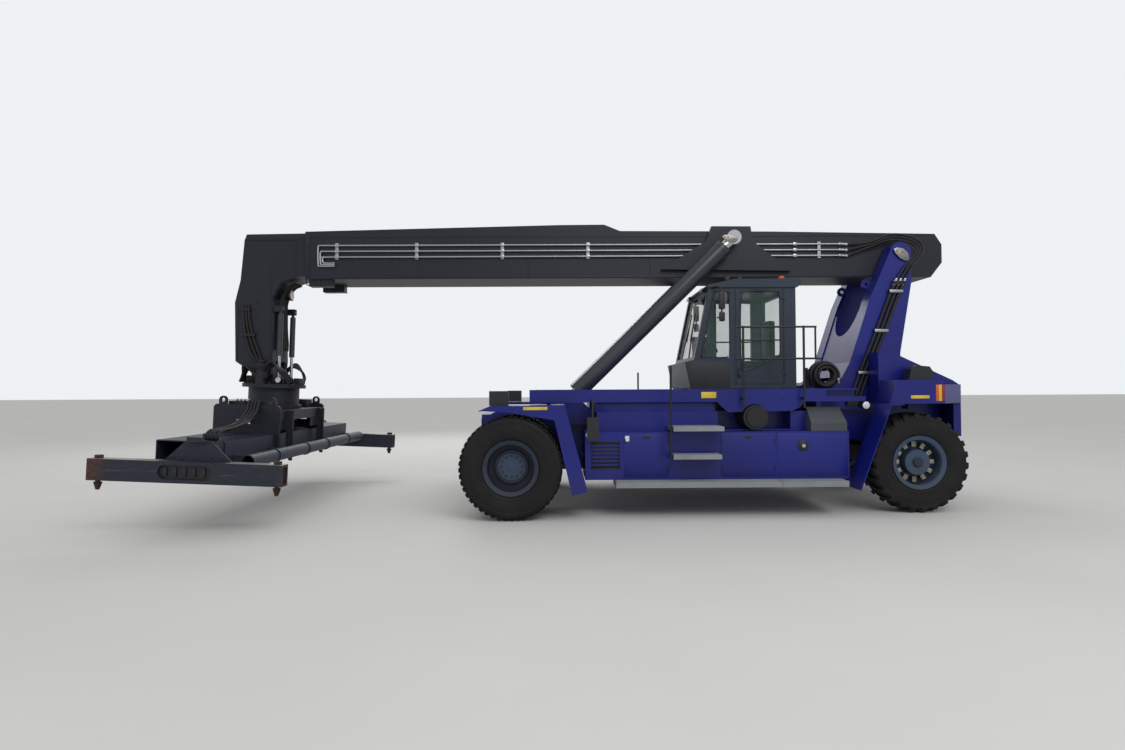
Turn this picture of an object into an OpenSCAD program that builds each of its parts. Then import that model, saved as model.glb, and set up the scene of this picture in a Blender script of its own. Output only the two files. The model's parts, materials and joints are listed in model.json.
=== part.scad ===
// Reach stacker with a telescoping boom, gooseneck, rotator and a 20 to 40 ft top spreader.
// Millimetres, +X forward, +Y to the machine's left, +Z up.
// The origin is on the ground, below the middle of the machine's overall length.

/* [Wheels] */
// Distance between the drive axle and the steer axle
wheelbase = 5985; // [5900:5:6100]
// Radius of every tyre
tyre_r = 735; // [700:5:750]
// Width of one tyre
tyre_w = 500; // [440:5:510]
// Middle of the outer front tyre from the centre plane
outer_wheel_y = 1825; // [1820:5:1850]
// Middle of the inner front tyre from the centre plane
inner_wheel_y = 1215; // [1200:5:1225]
// Middle of each rear tyre from the centre plane
rear_wheel_y = 1400; // [1390:5:1440]
// Radius of the rim's flange
rim_r = 395; // [360:5:410]
// Kingpin from the centre plane
kingpin_y = 1080; // [1060:5:1090]

/* [Chassis] */
// Centre of each main frame beam from the centre plane
beam_y = 560; // [540:5:570]
// Width of a main frame beam
beam_w = 150; // [130:5:160]
// Top face of the main frame beams
frame_top_z = 1500; // [1490:2:1510]
// Underside of the main frame beams between the axles
frame_bottom_z = 560; // [520:10:600]
// Top face of the deck
deck_z = 1833; // [1826:1:1840]
// Outer face of the deck's side beams from the centre plane
deck_y = 1550; // [1520:5:1570]
// Outer face of the side tanks from the centre plane
tank_y = 1720; // [1700:5:1740]
// Front face of the side tanks, behind the drive axle
tank_front = 1060; // [1050:5:1090]
// Rear face of the side tanks, behind the drive axle
tank_rear = 4900; // [4850:10:4920]
// Outer edge of the running boards from the centre plane
step_y = 2000; // [1960:5:2060]
// Rear edge of the engine hood, behind the drive axle
hood_rear = 5180; // [5170:2:5190]
// Top of the engine hood
hood_top = 1930; // [1920:5:1950]

/* [Boom] */
// Rear end of the boom, behind the drive axle
boom_rear = 7015; // [7000:5:7030]
// Boom pivot behind the drive axle
pivot_back = 6171; // [6150:2:6190]
// Height of the boom pivot
pivot_z = 4004; // [3990:2:4020]
// Width of the outer boom
boom_w = 900; // [880:5:910]
// Underside of the outer boom
boom_bottom_z = 3660; // [3650:2:3670]
// Wall of the outer and inner boom
boom_wall = 24; // [16:1:30]
// Gap between the inner boom and the outer boom's wall
boom_gap = 30; // [20:1:35]
// Front end of the outer boom, ahead of the drive axle
boom_front = 3454; // [3400:5:3500]
// Bore of the boom pivot
pivot_pin_r = 75; // [60:5:90]

/* [Lift cylinders] */
// Lower pin of a lift cylinder, behind the drive axle
lift_foot_back = 877; // [860:1:890]
// Height of the lower pin
lift_foot_z = 1703; // [1695:1:1715]
// Upper pin of a lift cylinder, behind the drive axle
lift_head_back = 3511; // [3490:1:3530]
// Height of the upper pin
lift_head_z = 4268; // [4255:1:4280]
// Middle of a lift cylinder from the centre plane
lift_y = 690; // [680:1:700]
// Radius of the lift cylinder's barrel
barrel_r = 140; // [120:2:144]
// Radius of the lift cylinder's rod
rod_r = 90; // [80:2:100]
// Radius of the pins of the lift cylinders
lift_pin_r = 55; // [45:1:65]

/* [Gooseneck and head] */
// Width of the gooseneck
neck_w = 660; // [640:5:680]
// Tilt pin ahead of the drive axle
tilt_x = 4200; // [4180:5:4220]
// Height of the tilt pin
tilt_z = 2180; // [2170:2:2190]
// Nose-up tilt of the spreader at rest, in degrees
tilt_rest = 2.5; // [0:0.5:4]
// Radius of the tilt pin
tilt_pin_r = 60; // [50:1:70]
// Rotator axis behind the tilt pin
rotator_back = 80; // [60:5:100]
// Radius of the rotator's ring
rotator_r = 440; // [400:5:460]
// Upper pin of the tilt dampers, ahead of the drive axle
damper_top_x = 3920; // [3900:5:3930]
// Height of the upper pin of the tilt dampers
damper_top_z = 3200; // [3150:5:3250]
// Lower pin of the tilt dampers, behind the tilt pin
damper_eye_back = 250; // [240:2:260]
// Lower pin of the tilt dampers, below the tilt pin
damper_eye_drop = 150; // [140:2:160]

/* [Spreader] */
// Spacing of the twistlocks along the container at 20 ft
lock_length = 5853; // [5840:1:5870]
// Spacing of the twistlocks across the container
lock_width = 2259; // [2250:1:2270]
// Middle of the end beams behind the rotator axis
beam_back = 155; // [140:5:170]
// Length of an end beam
end_beam_l = 2450; // [2430:5:2480]
// Width of an end beam
end_beam_w = 180; // [170:2:190]
// Height of an end beam
end_beam_h = 272; // [260:2:290]
// Height of the end beams' underside when the spreader is level
landing_z = 690; // [680:2:700]
// Length of the main frame's box beams
main_l = 5200; // [5000:20:5300]
// Width of each box beam of the main frame
main_w = 440; // [420:2:450]
// Height of the box beams of the main frame
main_h = 330; // [310:2:340]
// Wall of the box beams
main_wall = 14; // [10:1:20]
// Radius of a twistlock's neck
lock_r = 30; // [28:1:31]
// Length of a twistlock's neck, below the end beam
lock_neck = 30; // [26:1:34]

/* [Cab] */
// Width of the cab
cab_w = 1700; // [1660:5:1710]
// Underside of the cab above the deck
cab_lift = 12; // [8:1:20]
// Thickness of the cab's walls
cab_wall = 60; // [50:1:70]
// Thickness of the glass
glass_t = 8; // [6:1:10]
// Rear edge of the cab door, behind the drive axle
door_rear = 4250; // [4220:5:4270]

/* [Hidden] */
$fn = 64;

// Clearance between pieces that seat on each other, and at pins
seat = 0.3;
pin_gap = 0.5;
// Spreader's rotation axis when the spreader is level
rotator_x = tilt_x - rotator_back;
beam_x = rotator_x - beam_back;

// Where a point of the level spreader lies once it is tilted at rest
function tilted(x, z) = [
    tilt_x + (x - tilt_x) * cos(tilt_rest) - (z - tilt_z) * sin(tilt_rest),
    tilt_z + (x - tilt_x) * sin(tilt_rest) + (z - tilt_z) * cos(tilt_rest)
];

// The drive axle's place ahead of the origin, which is below the middle of the machine's length
spreader_front = tilted(beam_x + end_beam_l / 2, landing_z)[0];
axle_x = (boom_rear - spreader_front) / 2;

// Shared helpers

// Moves a piece from the drive axle's frame to the machine's frame
module site() {
    translate([axle_x, 0, 0]) children();
}

module both_sides() {
    children();
    mirror([0, 1, 0]) children();
}

// A side outline of X and Z points, extruded from y0 to y1
module side_plate(points, y0, y1) {
    translate([0, y1, 0]) rotate([90, 0, 0]) linear_extrude(y1 - y0) polygon(points);
}

// A box from its low corner to its high corner
module box(low, high) {
    translate(low) cube([high[0] - low[0], high[1] - low[1], high[2] - low[2]]);
}

// A round bar along Y
module bar_y(x, z, y0, y1, r) {
    translate([x, y0, z]) rotate([-90, 0, 0]) cylinder(r = r, h = y1 - y0);
}

// A round bar between two points
module bar(a, b, r) {
    d = b - a;
    len = norm(d);
    translate(a) rotate([0, acos(d[2] / len), atan2(d[1], d[0])]) cylinder(r = r, h = len);
}

// Points of an arc in the X Z plane
function arc(cx, cz, r, a0, a1, n) = [for (i = [0:n]) let(a = a0 + (a1 - a0) * i / n) [cx + r * cos(a), cz + r * sin(a)]];

// Tilts a piece with the spreader at rest, about the tilt pin
module spreader_site() {
    site() translate([tilt_x, 0, tilt_z]) rotate([0, -tilt_rest, 0]) translate([-tilt_x, 0, -tilt_z]) children();
}

// Chassis

frame_half = beam_w / 2;
beam_in = beam_y - frame_half;
beam_out = beam_y + frame_half;
frame_rear = -6400;
axle_top = tyre_r + 230;
rear_axle_top = tyre_r + 275;

function frame_outline() = [
    [560, axle_top + 20], [560, frame_top_z - 120], [300, frame_top_z], [frame_rear, frame_top_z],
    [frame_rear, rear_axle_top], [-5300, rear_axle_top], [-4950, frame_bottom_z], [-620, frame_bottom_z],
    [-420, axle_top], [420, axle_top]
];

// Lift cylinder foot: two cheeks on a sponson of the frame beam
cheek_gap = 72;
cheek_t = 40;
foot_front = -lift_foot_back + 250;
foot_rear = -lift_foot_back - 330;

module lift_foot_cheek(y) {
    difference() {
        side_plate(concat([[foot_rear, frame_top_z], [foot_front, frame_top_z]],
            arc(-lift_foot_back, lift_foot_z, 120, 0, 180, 12)), y, y + cheek_t);
        bar_y(-lift_foot_back, lift_foot_z, y - 1, y + cheek_t + 1, lift_pin_r - 1);
    }
}

module chassis_frame() {
    color([0.13, 0.16, 0.52]) site() {
        both_sides() {
            side_plate(frame_outline(), beam_in, beam_out);
            lift_foot_cheek(lift_y - cheek_gap - cheek_t);
            lift_foot_cheek(lift_y + cheek_gap);
            box([foot_rear, beam_out - 1, frame_top_z - 220], [foot_front, lift_y + cheek_gap + cheek_t, frame_top_z]);
            bar_y(-lift_foot_back, lift_foot_z, lift_y - cheek_gap - cheek_t, lift_y + cheek_gap + cheek_t + 20, lift_pin_r);
        }
        for (x = [420, -900, -5080, -6380])
            box([x, -beam_y, 1060], [x + 140, beam_y, frame_top_z - 60]);
    }
}

side_beam_h = 190;
side_beam_w = 120;
deck_t = 25;
deck_front = -1300;
post_foot = -4640;
cw_front = -5596;
post_in = 500;
post_out = 780;
fender_top = 1612;

beam_rear = -5228;
filter_x = -3575;
filter_z = 1414;
filter_r = 180;

module deck() {
    color([0.13, 0.16, 0.52]) site() {
        box([post_foot, -deck_y, deck_z - deck_t], [deck_front, deck_y, deck_z]);
        difference() {
            box([cw_front, -post_in, deck_z - deck_t], [post_foot, post_in, deck_z]);
            box([-5120, -post_in + 70, deck_z - 100], [post_foot - 60, post_in - 70, deck_z + 1]);
        }
        both_sides() {
            box([post_foot, deck_y - side_beam_w, deck_z - side_beam_h], [-250, deck_y, deck_z]);
            box([beam_rear, deck_y - side_beam_w, deck_z - side_beam_h], [post_foot, deck_y, deck_z - 120]);
            box([-5100, 1150, deck_z - deck_t], [post_foot, deck_y, deck_z]);
            box([-5100, post_out + seat, deck_z - 150], [-5040, deck_y - side_beam_w + 1, deck_z - deck_t + 1]);
            box([-5100, deck_y - side_beam_w, deck_z - 121], [post_foot, deck_y - side_beam_w + 20, deck_z - deck_t + 1]);
            box([-560, beam_in, frame_top_z], [-500, 900, deck_z - deck_t]);
            box([-560, 900, fender_top], [-500, deck_y - side_beam_w, deck_z - deck_t]);
            for (x = [-1290, -2300, -3300, -4600])
                box([x, beam_in, frame_top_z], [x + 60, deck_y - side_beam_w, deck_z - deck_t]);
            // Skirt under the side beam, cut round the air filter
            difference() {
                side_plate([[-3018, 1700], [-3018, 1656], [-3060, 1600], [-3183, 1489], [-4138, 1505], [-4255, 1560],
                    [-4305, 1628], [-4305, 1700]], deck_y - 20, deck_y);
                bar_y(filter_x, filter_z, deck_y - 21, deck_y + 1, filter_r + 12);
            }
        }
    }
}

wall_y = 1450;
tank_top = 1214;
tank_bottom = 524;
recess_x = [-4140, -3052];

module side_tanks() {
    color([0.13, 0.16, 0.52]) site() both_sides() {
        difference() {
            box([-tank_rear, beam_out, tank_bottom], [-tank_front, tank_y, tank_top]);
            for (i = [0:6])
                box([-1551, tank_y - 30, 700 + i * 55], [-1161, tank_y + 1, 730 + i * 55]);
        }
        difference() {
            box([-tank_rear, 830, tank_top - 1], [-1250, wall_y, frame_top_z]);
            box([recess_x[0], wall_y - 330, tank_top + 20], [recess_x[1], wall_y + 1, frame_top_z + 1]);
        }
    }
}

module air_filters() {
    color([0.07, 0.07, 0.08]) site() both_sides() {
        bar_y(filter_x, filter_z, wall_y - 320, wall_y + 165, filter_r);
        bar_y(filter_x, filter_z, wall_y + 160, wall_y + 190, filter_r - 40);
    }
}

module battery_boxes() {
    color([0.42, 0.43, 0.45]) site() both_sides() difference() {
        side_plate([[-4882, tank_top], [-4882, 1335], [-4866, 1564], [-4376, 1564], [-4358, 1335], [-4358, tank_top]],
            wall_y, tank_y - 20);
        translate([-5000, tank_y - 20, 1335]) rotate([48, 0, 0]) cube([800, 400, 400]);
    }
}

board_t = 80;

module steps() {
    color([0.62, 0.64, 0.66]) site() both_sides() {
        box([-4778, tank_y - 250, tank_bottom - board_t], [-3840, step_y, tank_bottom]);
        box([-3835, tank_y - 250, tank_bottom - board_t], [-1485, step_y, tank_bottom]);
        box([-3018, wall_y, 1237], [-2299, step_y, 1300]);
        box([-2982, tank_y, 841], [-2299, step_y, 905]);
    }
}

fender_y = 2070;
fender_in = 930;
fender_t = 12;

function fender_outer() = [[442, 1543], [280, fender_top], [-765, fender_top], [-1083, 392]];
function fender_inner() = [[-859, 357], [-622, 1393], [-598, 1411], [4, 1515], [158, 1527]];

module front_fenders() {
    color([0.13, 0.16, 0.52]) site() both_sides() {
        side_plate(concat(fender_outer(), fender_inner()), fender_y - fender_t, fender_y);
        side_plate([[442, 1543], [280, fender_top], [-765, fender_top], [-1083, 392], [-1068, 389],
            [-756, fender_top - fender_t], [277, fender_top - fender_t], [438, 1531]], fender_in, fender_y);
    }
}

cw_y = 1660;
guard_y = 1980;
cw_in = 1180;
cw_tail = 1000;
cw_under = 1603;
cw_top = 1952;
hose_slot = post_out + 75;

function counterweight_outline() = [
    [cw_front, cw_under], [cw_front, 2388], [-5842, 2371], [-6739, cw_top], [-6852, 1875], [-6847, cw_under]
];
function cw_side_outline() = [[-5531, cw_under], [-5637, cw_top], [-6330, cw_top], [-6346, 1885], [-6346, cw_under]];
function cw_plan() = [
    [-6300, -cw_y], [-6346, -cw_y], [-6852, -cw_in - 20], [-6967, -cw_tail],
    [-6967, cw_tail], [-6852, cw_in + 20], [-6346, cw_y], [-6300, cw_y]
];

module counterweight() {
    color([0.13, 0.16, 0.52]) site() {
        difference() {
            union() {
                side_plate(counterweight_outline(), -cw_in, cw_in);
                both_sides() side_plate(cw_side_outline(), cw_in - 1, cw_y);
                translate([0, 0, cw_under]) linear_extrude(1885 - cw_under) polygon(cw_plan());
                side_plate([[cw_front, frame_top_z], [cw_front, cw_under + 1], [-6847, cw_under + 1], [-6800, 900],
                    [frame_rear, 900], [frame_rear, frame_top_z]], -600, 600);
            }
            both_sides() {
                box([-6340, post_in - seat, frame_top_z - 1], [-5000, post_out + seat, 2500]);
                // Channel for the hoses down the post
                box([-5830, post_out, cw_under - 1], [cw_front + 1, hose_slot, 2500]);
            }
        }
        box([-6967, -cw_tail, 1078], [-6930, cw_tail, cw_under + 1]);
        both_sides() {
            box([-6931, cw_tail - 40, 1078], [-6850, cw_tail, cw_under + 1]);
            // Mudguard ahead of the rear tyre, with its ledge below the counterweight
            side_plate([[-5600, cw_under + 1], [-5405, cw_under + 1], [-4946, 388], [-4958, 388], [-5413, cw_under - 12],
                [-5600, cw_under - 12]], 1500, guard_y);
        }
    }
}

module engine_block() {
    color([0.25, 0.25, 0.27]) site() {
        box([-4500, -400, 620], [-2600, 400, 1420]);
        both_sides() for (x = [-4400, -2800])
            box([x, 399, 1000], [x + 100, beam_in, 1080]);
    }
}

hood_half = 490;
hood_wall = 15;
hood_low = deck_z + seat;

// Outline of the hood, inset by a wall
function hood_outline(t) = [
    [post_foot - t, hood_low - (t > 0 ? 1 : 0)], [post_foot - t, hood_top - 50 - t * 0.5], [-4720 - t * 0.5, hood_top - t],
    [-hood_rear + t, hood_top - t], [-hood_rear + t, hood_low - (t > 0 ? 1 : 0)]
];

module engine_hood() {
    color([0.13, 0.16, 0.52]) site() {
        difference() {
            side_plate(hood_outline(0), -hood_half, hood_half);
            side_plate(hood_outline(hood_wall), -hood_half + hood_wall, hood_half - hood_wall);
        }
        both_sides() bar_y(-hood_rear, hood_top + 8, 150, 350, 16);
    }
}

function post_outline() = concat(
    arc(-pivot_back, pivot_z, 170, 190, 10, 16),
    [[-5661, 3259], [-5330, 2250], [-5200, 2010], [-5000, 1880], [-4700, deck_z], [post_foot, deck_z],
        [post_foot, frame_top_z], [-6140, frame_top_z], [-6140, 2394], [-6336, 3537]]
);

notch_r = 430;
notch_z = 3150;

module tower_posts() {
    color([0.13, 0.16, 0.52]) site() {
        both_sides() {
            difference() {
                side_plate(post_outline(), post_in, post_out);
                bar_y(-pivot_back, pivot_z, post_in - 1, post_out + 1, pivot_pin_r + pin_gap);
            }
            // Lug at the top of the cross plate
            difference() {
                union() {
                    bar_y(-5740, 3545, post_in - 30, post_in + 1, 80);
                    side_plate([[-5815, 3515], [-5640, 3120], [-5760, 3120], [-5880, 3450]], post_in - 30, post_in + 1);
                }
                bar_y(-5740, 3545, post_in - 31, post_in + 2, 30);
            }
        }
        // Cross plate with a round notch in its top edge
        difference() {
            side_plate([[-5629, 3100], [-5350, 2250], [-5220, 2010], [-5248, 2010], [-5376, 2245], [-5655, 3100]],
                -post_in - 1, post_in + 1);
            translate([-6000, 0, notch_z]) rotate([0, 90, 0]) cylinder(r = notch_r, h = 1000);
        }
    }
}

rail_y = 1660;
rail_r = 17;
rail_top = 2740;
rail_mid = 2274;
rail_front = -3274;
rail_rear = -4450;
hose_r = 25;
coil_x = -4845;
coil_y = 860;
coil_z = 2044;
coil_radii = [120, 215];
hook_y = 835;
hook_z = coil_z + coil_radii[0] - hose_r - seat - rail_r;

module handrails() {
    color([0.10, 0.10, 0.11]) site() {
        both_sides() {
            bar([rail_front, rail_y, rail_top], [rail_rear - rail_r, rail_y, rail_top], rail_r - 2);
            bar([rail_front, rail_y, rail_mid], [rail_rear - 90, rail_y, rail_mid], rail_r - 2);
            translate([rail_rear, rail_y, rail_mid]) cylinder(r = rail_r - 3, h = rail_top - rail_mid);
            for (x = [-3388, -4278]) {
                translate([x, rail_y, 1552]) cylinder(r = rail_r, h = rail_top + rail_r - 1552);
                box([x - 12, deck_y, 1670], [x + 12, rail_y, 1710]);
            }
            translate([-2270, step_y - 40, 860]) cylinder(r = rail_r, h = 1305);
            for (z = [870, 1265])
                box([-2299, step_y - 50, z], [-2270, step_y - 30, z + 20]);
        }
        translate([post_foot + 25, hook_y, deck_z]) cylinder(r = rail_r + 2, h = hook_z - deck_z + 40);
        bar([post_foot + 25, hook_y, hook_z], [coil_x, hook_y, hook_z], rail_r);
        bar_y(coil_x, hook_z, hook_y, coil_y + 230, rail_r);
    }
}

module lamps() {
    color([0.20, 0.20, 0.21]) site() both_sides() {
        box([40, 1780, fender_top], [308, 1920, fender_top + 208]);
        side_plate([[-5901, cw_top + seat], [-5938, 2120], [-6020, 2173], [-6215, 2153], [-6270, 2072], [-6260, cw_top + seat]],
            1300, 1500);
        bar_y(-5209, deck_z - side_beam_h - 60 - seat, deck_y - 100, deck_y + 60, 60);
    }
}

module mirrors() {
    color([0.30, 0.36, 0.38]) site() both_sides() {
        box([-1251, 1880, 1110], [-1082, 1910, 1440]);
        box([-1180, deck_y, 1660], [-1150, 1905, 1690]);
        box([-1178, 1885, 1430], [-1152, 1903, 1680]);
    }
}

hose_path = [[-6117, 3508], [-6060, 3375], [-5815, 2747], [-5543, 2080], [-5359, 1595]];
hose_y = post_out + seat + hose_r + 6;
hose_pitch = 70;

// Three hoses down each post, in clamps that also hold them where they bend
module rear_hoses() {
    color([0.08, 0.08, 0.09]) site() both_sides() {
        for (n = [-1, 0, 1], i = [0:3]) {
            a = hose_path[i];
            b = hose_path[i + 1];
            bar([a[0] + n * hose_pitch, hose_y, a[1]], [b[0] + n * hose_pitch, hose_y, b[1]], hose_r);
        }
        for (p = hose_path)
            box([p[0] - 105, post_out + seat, p[1] - 30], [p[0] + 105, hose_y + hose_r + 6, p[1] + 30]);
    }
}

module hose_coil() {
    color([0.06, 0.06, 0.07]) site()
        for (radius = [coil_radii[0], coil_radii[0] + 2 * hose_r + seat, coil_radii[1] + seat], i = [0:3])
            translate([coil_x, coil_y + hose_r + i * (2 * hose_r + seat), coil_z]) rotate([90, 0, 0])
                rotate_extrude() translate([radius, 0]) circle(r = hose_r, $fn = 16);
}

// Axles and wheels

axle_hub_r = 200;

module drive_axle() {
    color([0.12, 0.12, 0.14]) site() {
        bar_y(0, tyre_r, -900, 900, 170);
        bar_y(0, tyre_r, -260, 260, 290);
        both_sides() {
            box([-200, beam_in, tyre_r + 120], [200, beam_out, axle_top]);
            bar_y(0, tyre_r, 890, outer_wheel_y - 60, axle_hub_r);
        }
    }
}

// Tyre section around its own axis: bead, sidewall, shoulder and tread
function tyre_section(r, w, hole) = concat(
    [[hole, -w * 0.36], [hole + 60, -w * 0.47]],
    arc(r - 60, -w / 2 + 60, 60, 270, 360, 6),
    arc(r - 60, w / 2 - 60, 60, 0, 90, 6),
    [[hole + 60, w * 0.47], [hole, w * 0.36]]
);

module tyre(x, y) {
    translate([x, y, tyre_r]) rotate([-90, 0, 0]) rotate_extrude($fn = 96) polygon(tyre_section(tyre_r, tyre_w, rim_r));
}

// Rim: a barrel with flanges, and a disc at disc_y that bolts to the hub
module rim(x, y, disc_y, bore) {
    translate([x, y, tyre_r]) rotate([-90, 0, 0]) {
        rotate_extrude($fn = 96) polygon([[rim_r - 60, -tyre_w * 0.40], [rim_r - seat, -tyre_w * 0.36 - 40],
            [rim_r - seat, tyre_w * 0.36 + 40], [rim_r - 60, tyre_w * 0.40]]);
        difference() {
            translate([0, 0, disc_y - y]) cylinder(r = rim_r - 50, h = 30);
            translate([0, 0, disc_y - y - 1]) cylinder(r = bore, h = 32);
        }
    }
}

module front_tyres() {
    color([0.07, 0.07, 0.07]) {
        tyre(0, outer_wheel_y);
        tyre(0, inner_wheel_y);
    }
}

module front_rims() {
    color([0.13, 0.17, 0.26]) {
        rim(0, outer_wheel_y, outer_wheel_y - 120, axle_hub_r + 5);
        rim(0, inner_wheel_y, inner_wheel_y + 120, axle_hub_r + 5);
        difference() {
            bar_y(0, tyre_r, inner_wheel_y + 120, outer_wheel_y - 20, axle_hub_r + 35);
            bar_y(0, tyre_r, inner_wheel_y, outer_wheel_y - 55, axle_hub_r + pin_gap);
        }
    }
}

module front_tyres_left() { site() front_tyres(); }
module front_tyres_right() { site() mirror([0, 1, 0]) front_tyres(); }
module front_rims_left() { site() front_rims(); }
module front_rims_right() { site() mirror([0, 1, 0]) front_rims(); }

kingpin_r = 50;
stub_r = 80;
axle_half = 130;

module steer_axle() {
    color([0.12, 0.12, 0.14]) site() {
        box([-wheelbase - 150, -kingpin_y + 240, tyre_r - axle_half], [-wheelbase + 150, kingpin_y - 240, tyre_r + axle_half]);
        both_sides() {
            box([-wheelbase - 200, beam_in, tyre_r + axle_half - 1], [-wheelbase + 200, beam_out, rear_axle_top]);
            for (z = [tyre_r - 190, tyre_r + axle_half])
                difference() {
                    box([-wheelbase - 90, kingpin_y - 400, z], [-wheelbase + 90, kingpin_y + 80, z + 60]);
                    translate([-wheelbase, kingpin_y, z - 1]) cylinder(r = kingpin_r + pin_gap, h = 62);
                }
        }
    }
}

module knuckle() {
    color([0.12, 0.12, 0.14]) {
        translate([-wheelbase, kingpin_y, tyre_r - 200]) cylinder(r = kingpin_r, h = 400);
        translate([-wheelbase, kingpin_y, tyre_r - 120]) cylinder(r = 90, h = 240);
        bar_y(-wheelbase, tyre_r, kingpin_y, rear_wheel_y + 60, stub_r);
        box([-wheelbase - 330, kingpin_y - 45, tyre_r - 60], [-wheelbase, kingpin_y + 45, tyre_r - 10]);
    }
}

module knuckle_left() { site() knuckle(); }
module knuckle_right() { site() mirror([0, 1, 0]) knuckle(); }

module rear_rim() {
    color([0.28, 0.36, 0.48]) {
        rim(-wheelbase, rear_wheel_y, rear_wheel_y - 60, 150);
        difference() {
            bar_y(-wheelbase, tyre_r, rear_wheel_y - 60, rear_wheel_y + 150, 185);
            bar_y(-wheelbase, tyre_r, rear_wheel_y - 61, rear_wheel_y + 70, stub_r + pin_gap);
        }
        for (i = [0:11])
            translate([-wheelbase, 0, tyre_r]) rotate([0, i * 30, 0])
                box([225, rear_wheel_y - 31, -28], [300, rear_wheel_y + 40, 28]);
    }
}

module rear_tyre_left() { color([0.07, 0.07, 0.07]) site() tyre(-wheelbase, rear_wheel_y); }
module rear_tyre_right() { color([0.07, 0.07, 0.07]) site() mirror([0, 1, 0]) tyre(-wheelbase, rear_wheel_y); }
module rear_rim_left() { site() rear_rim(); }
module rear_rim_right() { site() mirror([0, 1, 0]) rear_rim(); }

// Cab

cab_half = cab_w / 2;
cab_z = deck_z + cab_lift;
cab_top = 3440;
cab_rear = -4448;
cab_floor = cab_z + 40;
screen_low = [-2826, 2297];
screen_lean = 0.2135;

// Outer face of the windscreen at a height, set back by a depth
function screen(z, back) = [screen_low[0] - (z - screen_low[1]) * screen_lean - back, z];

function cab_outline() = [[-2683, 2260], [-2760, cab_z], [cab_rear, cab_z], [cab_rear, cab_top], screen(cab_top, 0), screen_low];
function cab_inside() = [[-2770, 2250], [-2830, cab_floor], [cab_rear + cab_wall, cab_floor],
    [cab_rear + cab_wall, cab_top + 1], screen(cab_top + 1, cab_wall), screen(2310, cab_wall)];
function door_outline(gap) = [[-3490 - gap, cab_z + 60 + gap], [-door_rear + gap, cab_z + 60 + gap],
    [-door_rear + gap, cab_top - 30 - gap], [-3490 - gap, cab_top - 30 - gap]];
function door_window(gap) = [[-3566 - gap, 3385 - gap], [-door_rear + 50 + gap, 3385 - gap], [-door_rear + 50 + gap, 2347 + gap],
    [-3650 - gap, 2100 + gap], [-3566 - gap, 2125 + gap]];
function side_window(gap) = [screen(2330 + gap, 90 + gap), screen(3385 - gap, 90 + gap), [-3400 + gap, 3385 - gap],
    [-3400 + gap, 2330 + gap]];

screen_half = cab_half - 90;
glass_y = cab_half - 30;

module cab_shell() {
    color([0.24, 0.31, 0.34]) site() {
        difference() {
            side_plate(cab_outline(), -cab_half, cab_half);
            side_plate(cab_inside(), -cab_half + cab_wall, cab_half - cab_wall);
            side_plate([screen(2350, -200), screen(2350, cab_wall + 30), screen(3400, cab_wall + 30), screen(3400, -200)],
                -screen_half, screen_half);
            box([cab_rear - 50, -cab_half + 110, 2400], [cab_rear + 100, cab_half - 110, 3380]);
            both_sides() side_plate(side_window(0), cab_half - cab_wall - 1, cab_half + 1);
            side_plate(door_outline(0), cab_half - cab_wall - 1, cab_half + 1);
            mirror([0, 1, 0]) side_plate(door_window(0), cab_half - cab_wall - 1, cab_half + 1);
        }
        both_sides() for (x = [-2950, -4300])
            translate([x, cab_half - 200, deck_z]) cylinder(r = 60, h = cab_lift + 1);
        for (z = [cab_z + 200, cab_top - 200])
            translate([-door_rear - 12, cab_half + 12, z]) cylinder(r = 8, h = 100);
        for (z = [cab_z + 200, cab_top - 200])
            box([-door_rear - 30, cab_half - 1, z], [-door_rear - 8, cab_half + 16, z + 20]);
    }
}

module cab_roof() {
    color([0.22, 0.26, 0.29]) site()
        side_plate([[-3030, cab_top], [-3050, 3480], [-3480, 3575], [-4520, 3580], [-4545, 3500], [-4470, cab_top]],
            -cab_half - 30, cab_half + 30);
}

module cab_glass() {
    color([0.65, 0.78, 0.74]) site() {
        side_plate([screen(2350 + seat, 20), screen(2350 + seat, 20 + glass_t), screen(3400 - seat, 20 + glass_t),
            screen(3400 - seat, 20)], -screen_half + seat, screen_half - seat);
        box([cab_rear + 18, -cab_half + 110 + seat, 2400 + seat], [cab_rear + 18 + glass_t, cab_half - 110 - seat, 3380 - seat]);
        both_sides() side_plate(side_window(seat), glass_y, glass_y + glass_t);
        mirror([0, 1, 0]) side_plate(door_window(seat), glass_y, glass_y + glass_t);
    }
}

module cab_door() {
    color([0.24, 0.31, 0.34]) site() {
        difference() {
            side_plate(door_outline(6), cab_half - 50, cab_half);
            side_plate(door_window(0), cab_half - 51, cab_half + 1);
        }
        for (z = [cab_z + 220 + seat, cab_top - 180 + seat])
            difference() {
                hull() {
                    translate([-door_rear - 12, cab_half + 12, z]) cylinder(r = 11, h = 60, $fn = 32);
                    translate([-door_rear + 30, cab_half + 3, z]) cylinder(r = 5, h = 60, $fn = 32);
                }
                translate([-door_rear - 12, cab_half + 12, z - 1]) cylinder(r = 8 + seat, h = 62);
            }
    }
}

module door_glass() {
    color([0.65, 0.78, 0.74]) site() side_plate(door_window(seat), glass_y, glass_y + glass_t);
}

module seat_piece() {
    color([0.08, 0.08, 0.09]) site() {
        box([-4150, -180, cab_floor], [-3800, 180, cab_floor + 301]);
        box([-4230, -260, cab_floor + 300], [-3700, 260, cab_floor + 430]);
        box([-4330, -250, cab_floor + 429], [-4200, 250, cab_floor + 1110]);
    }
}

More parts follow.
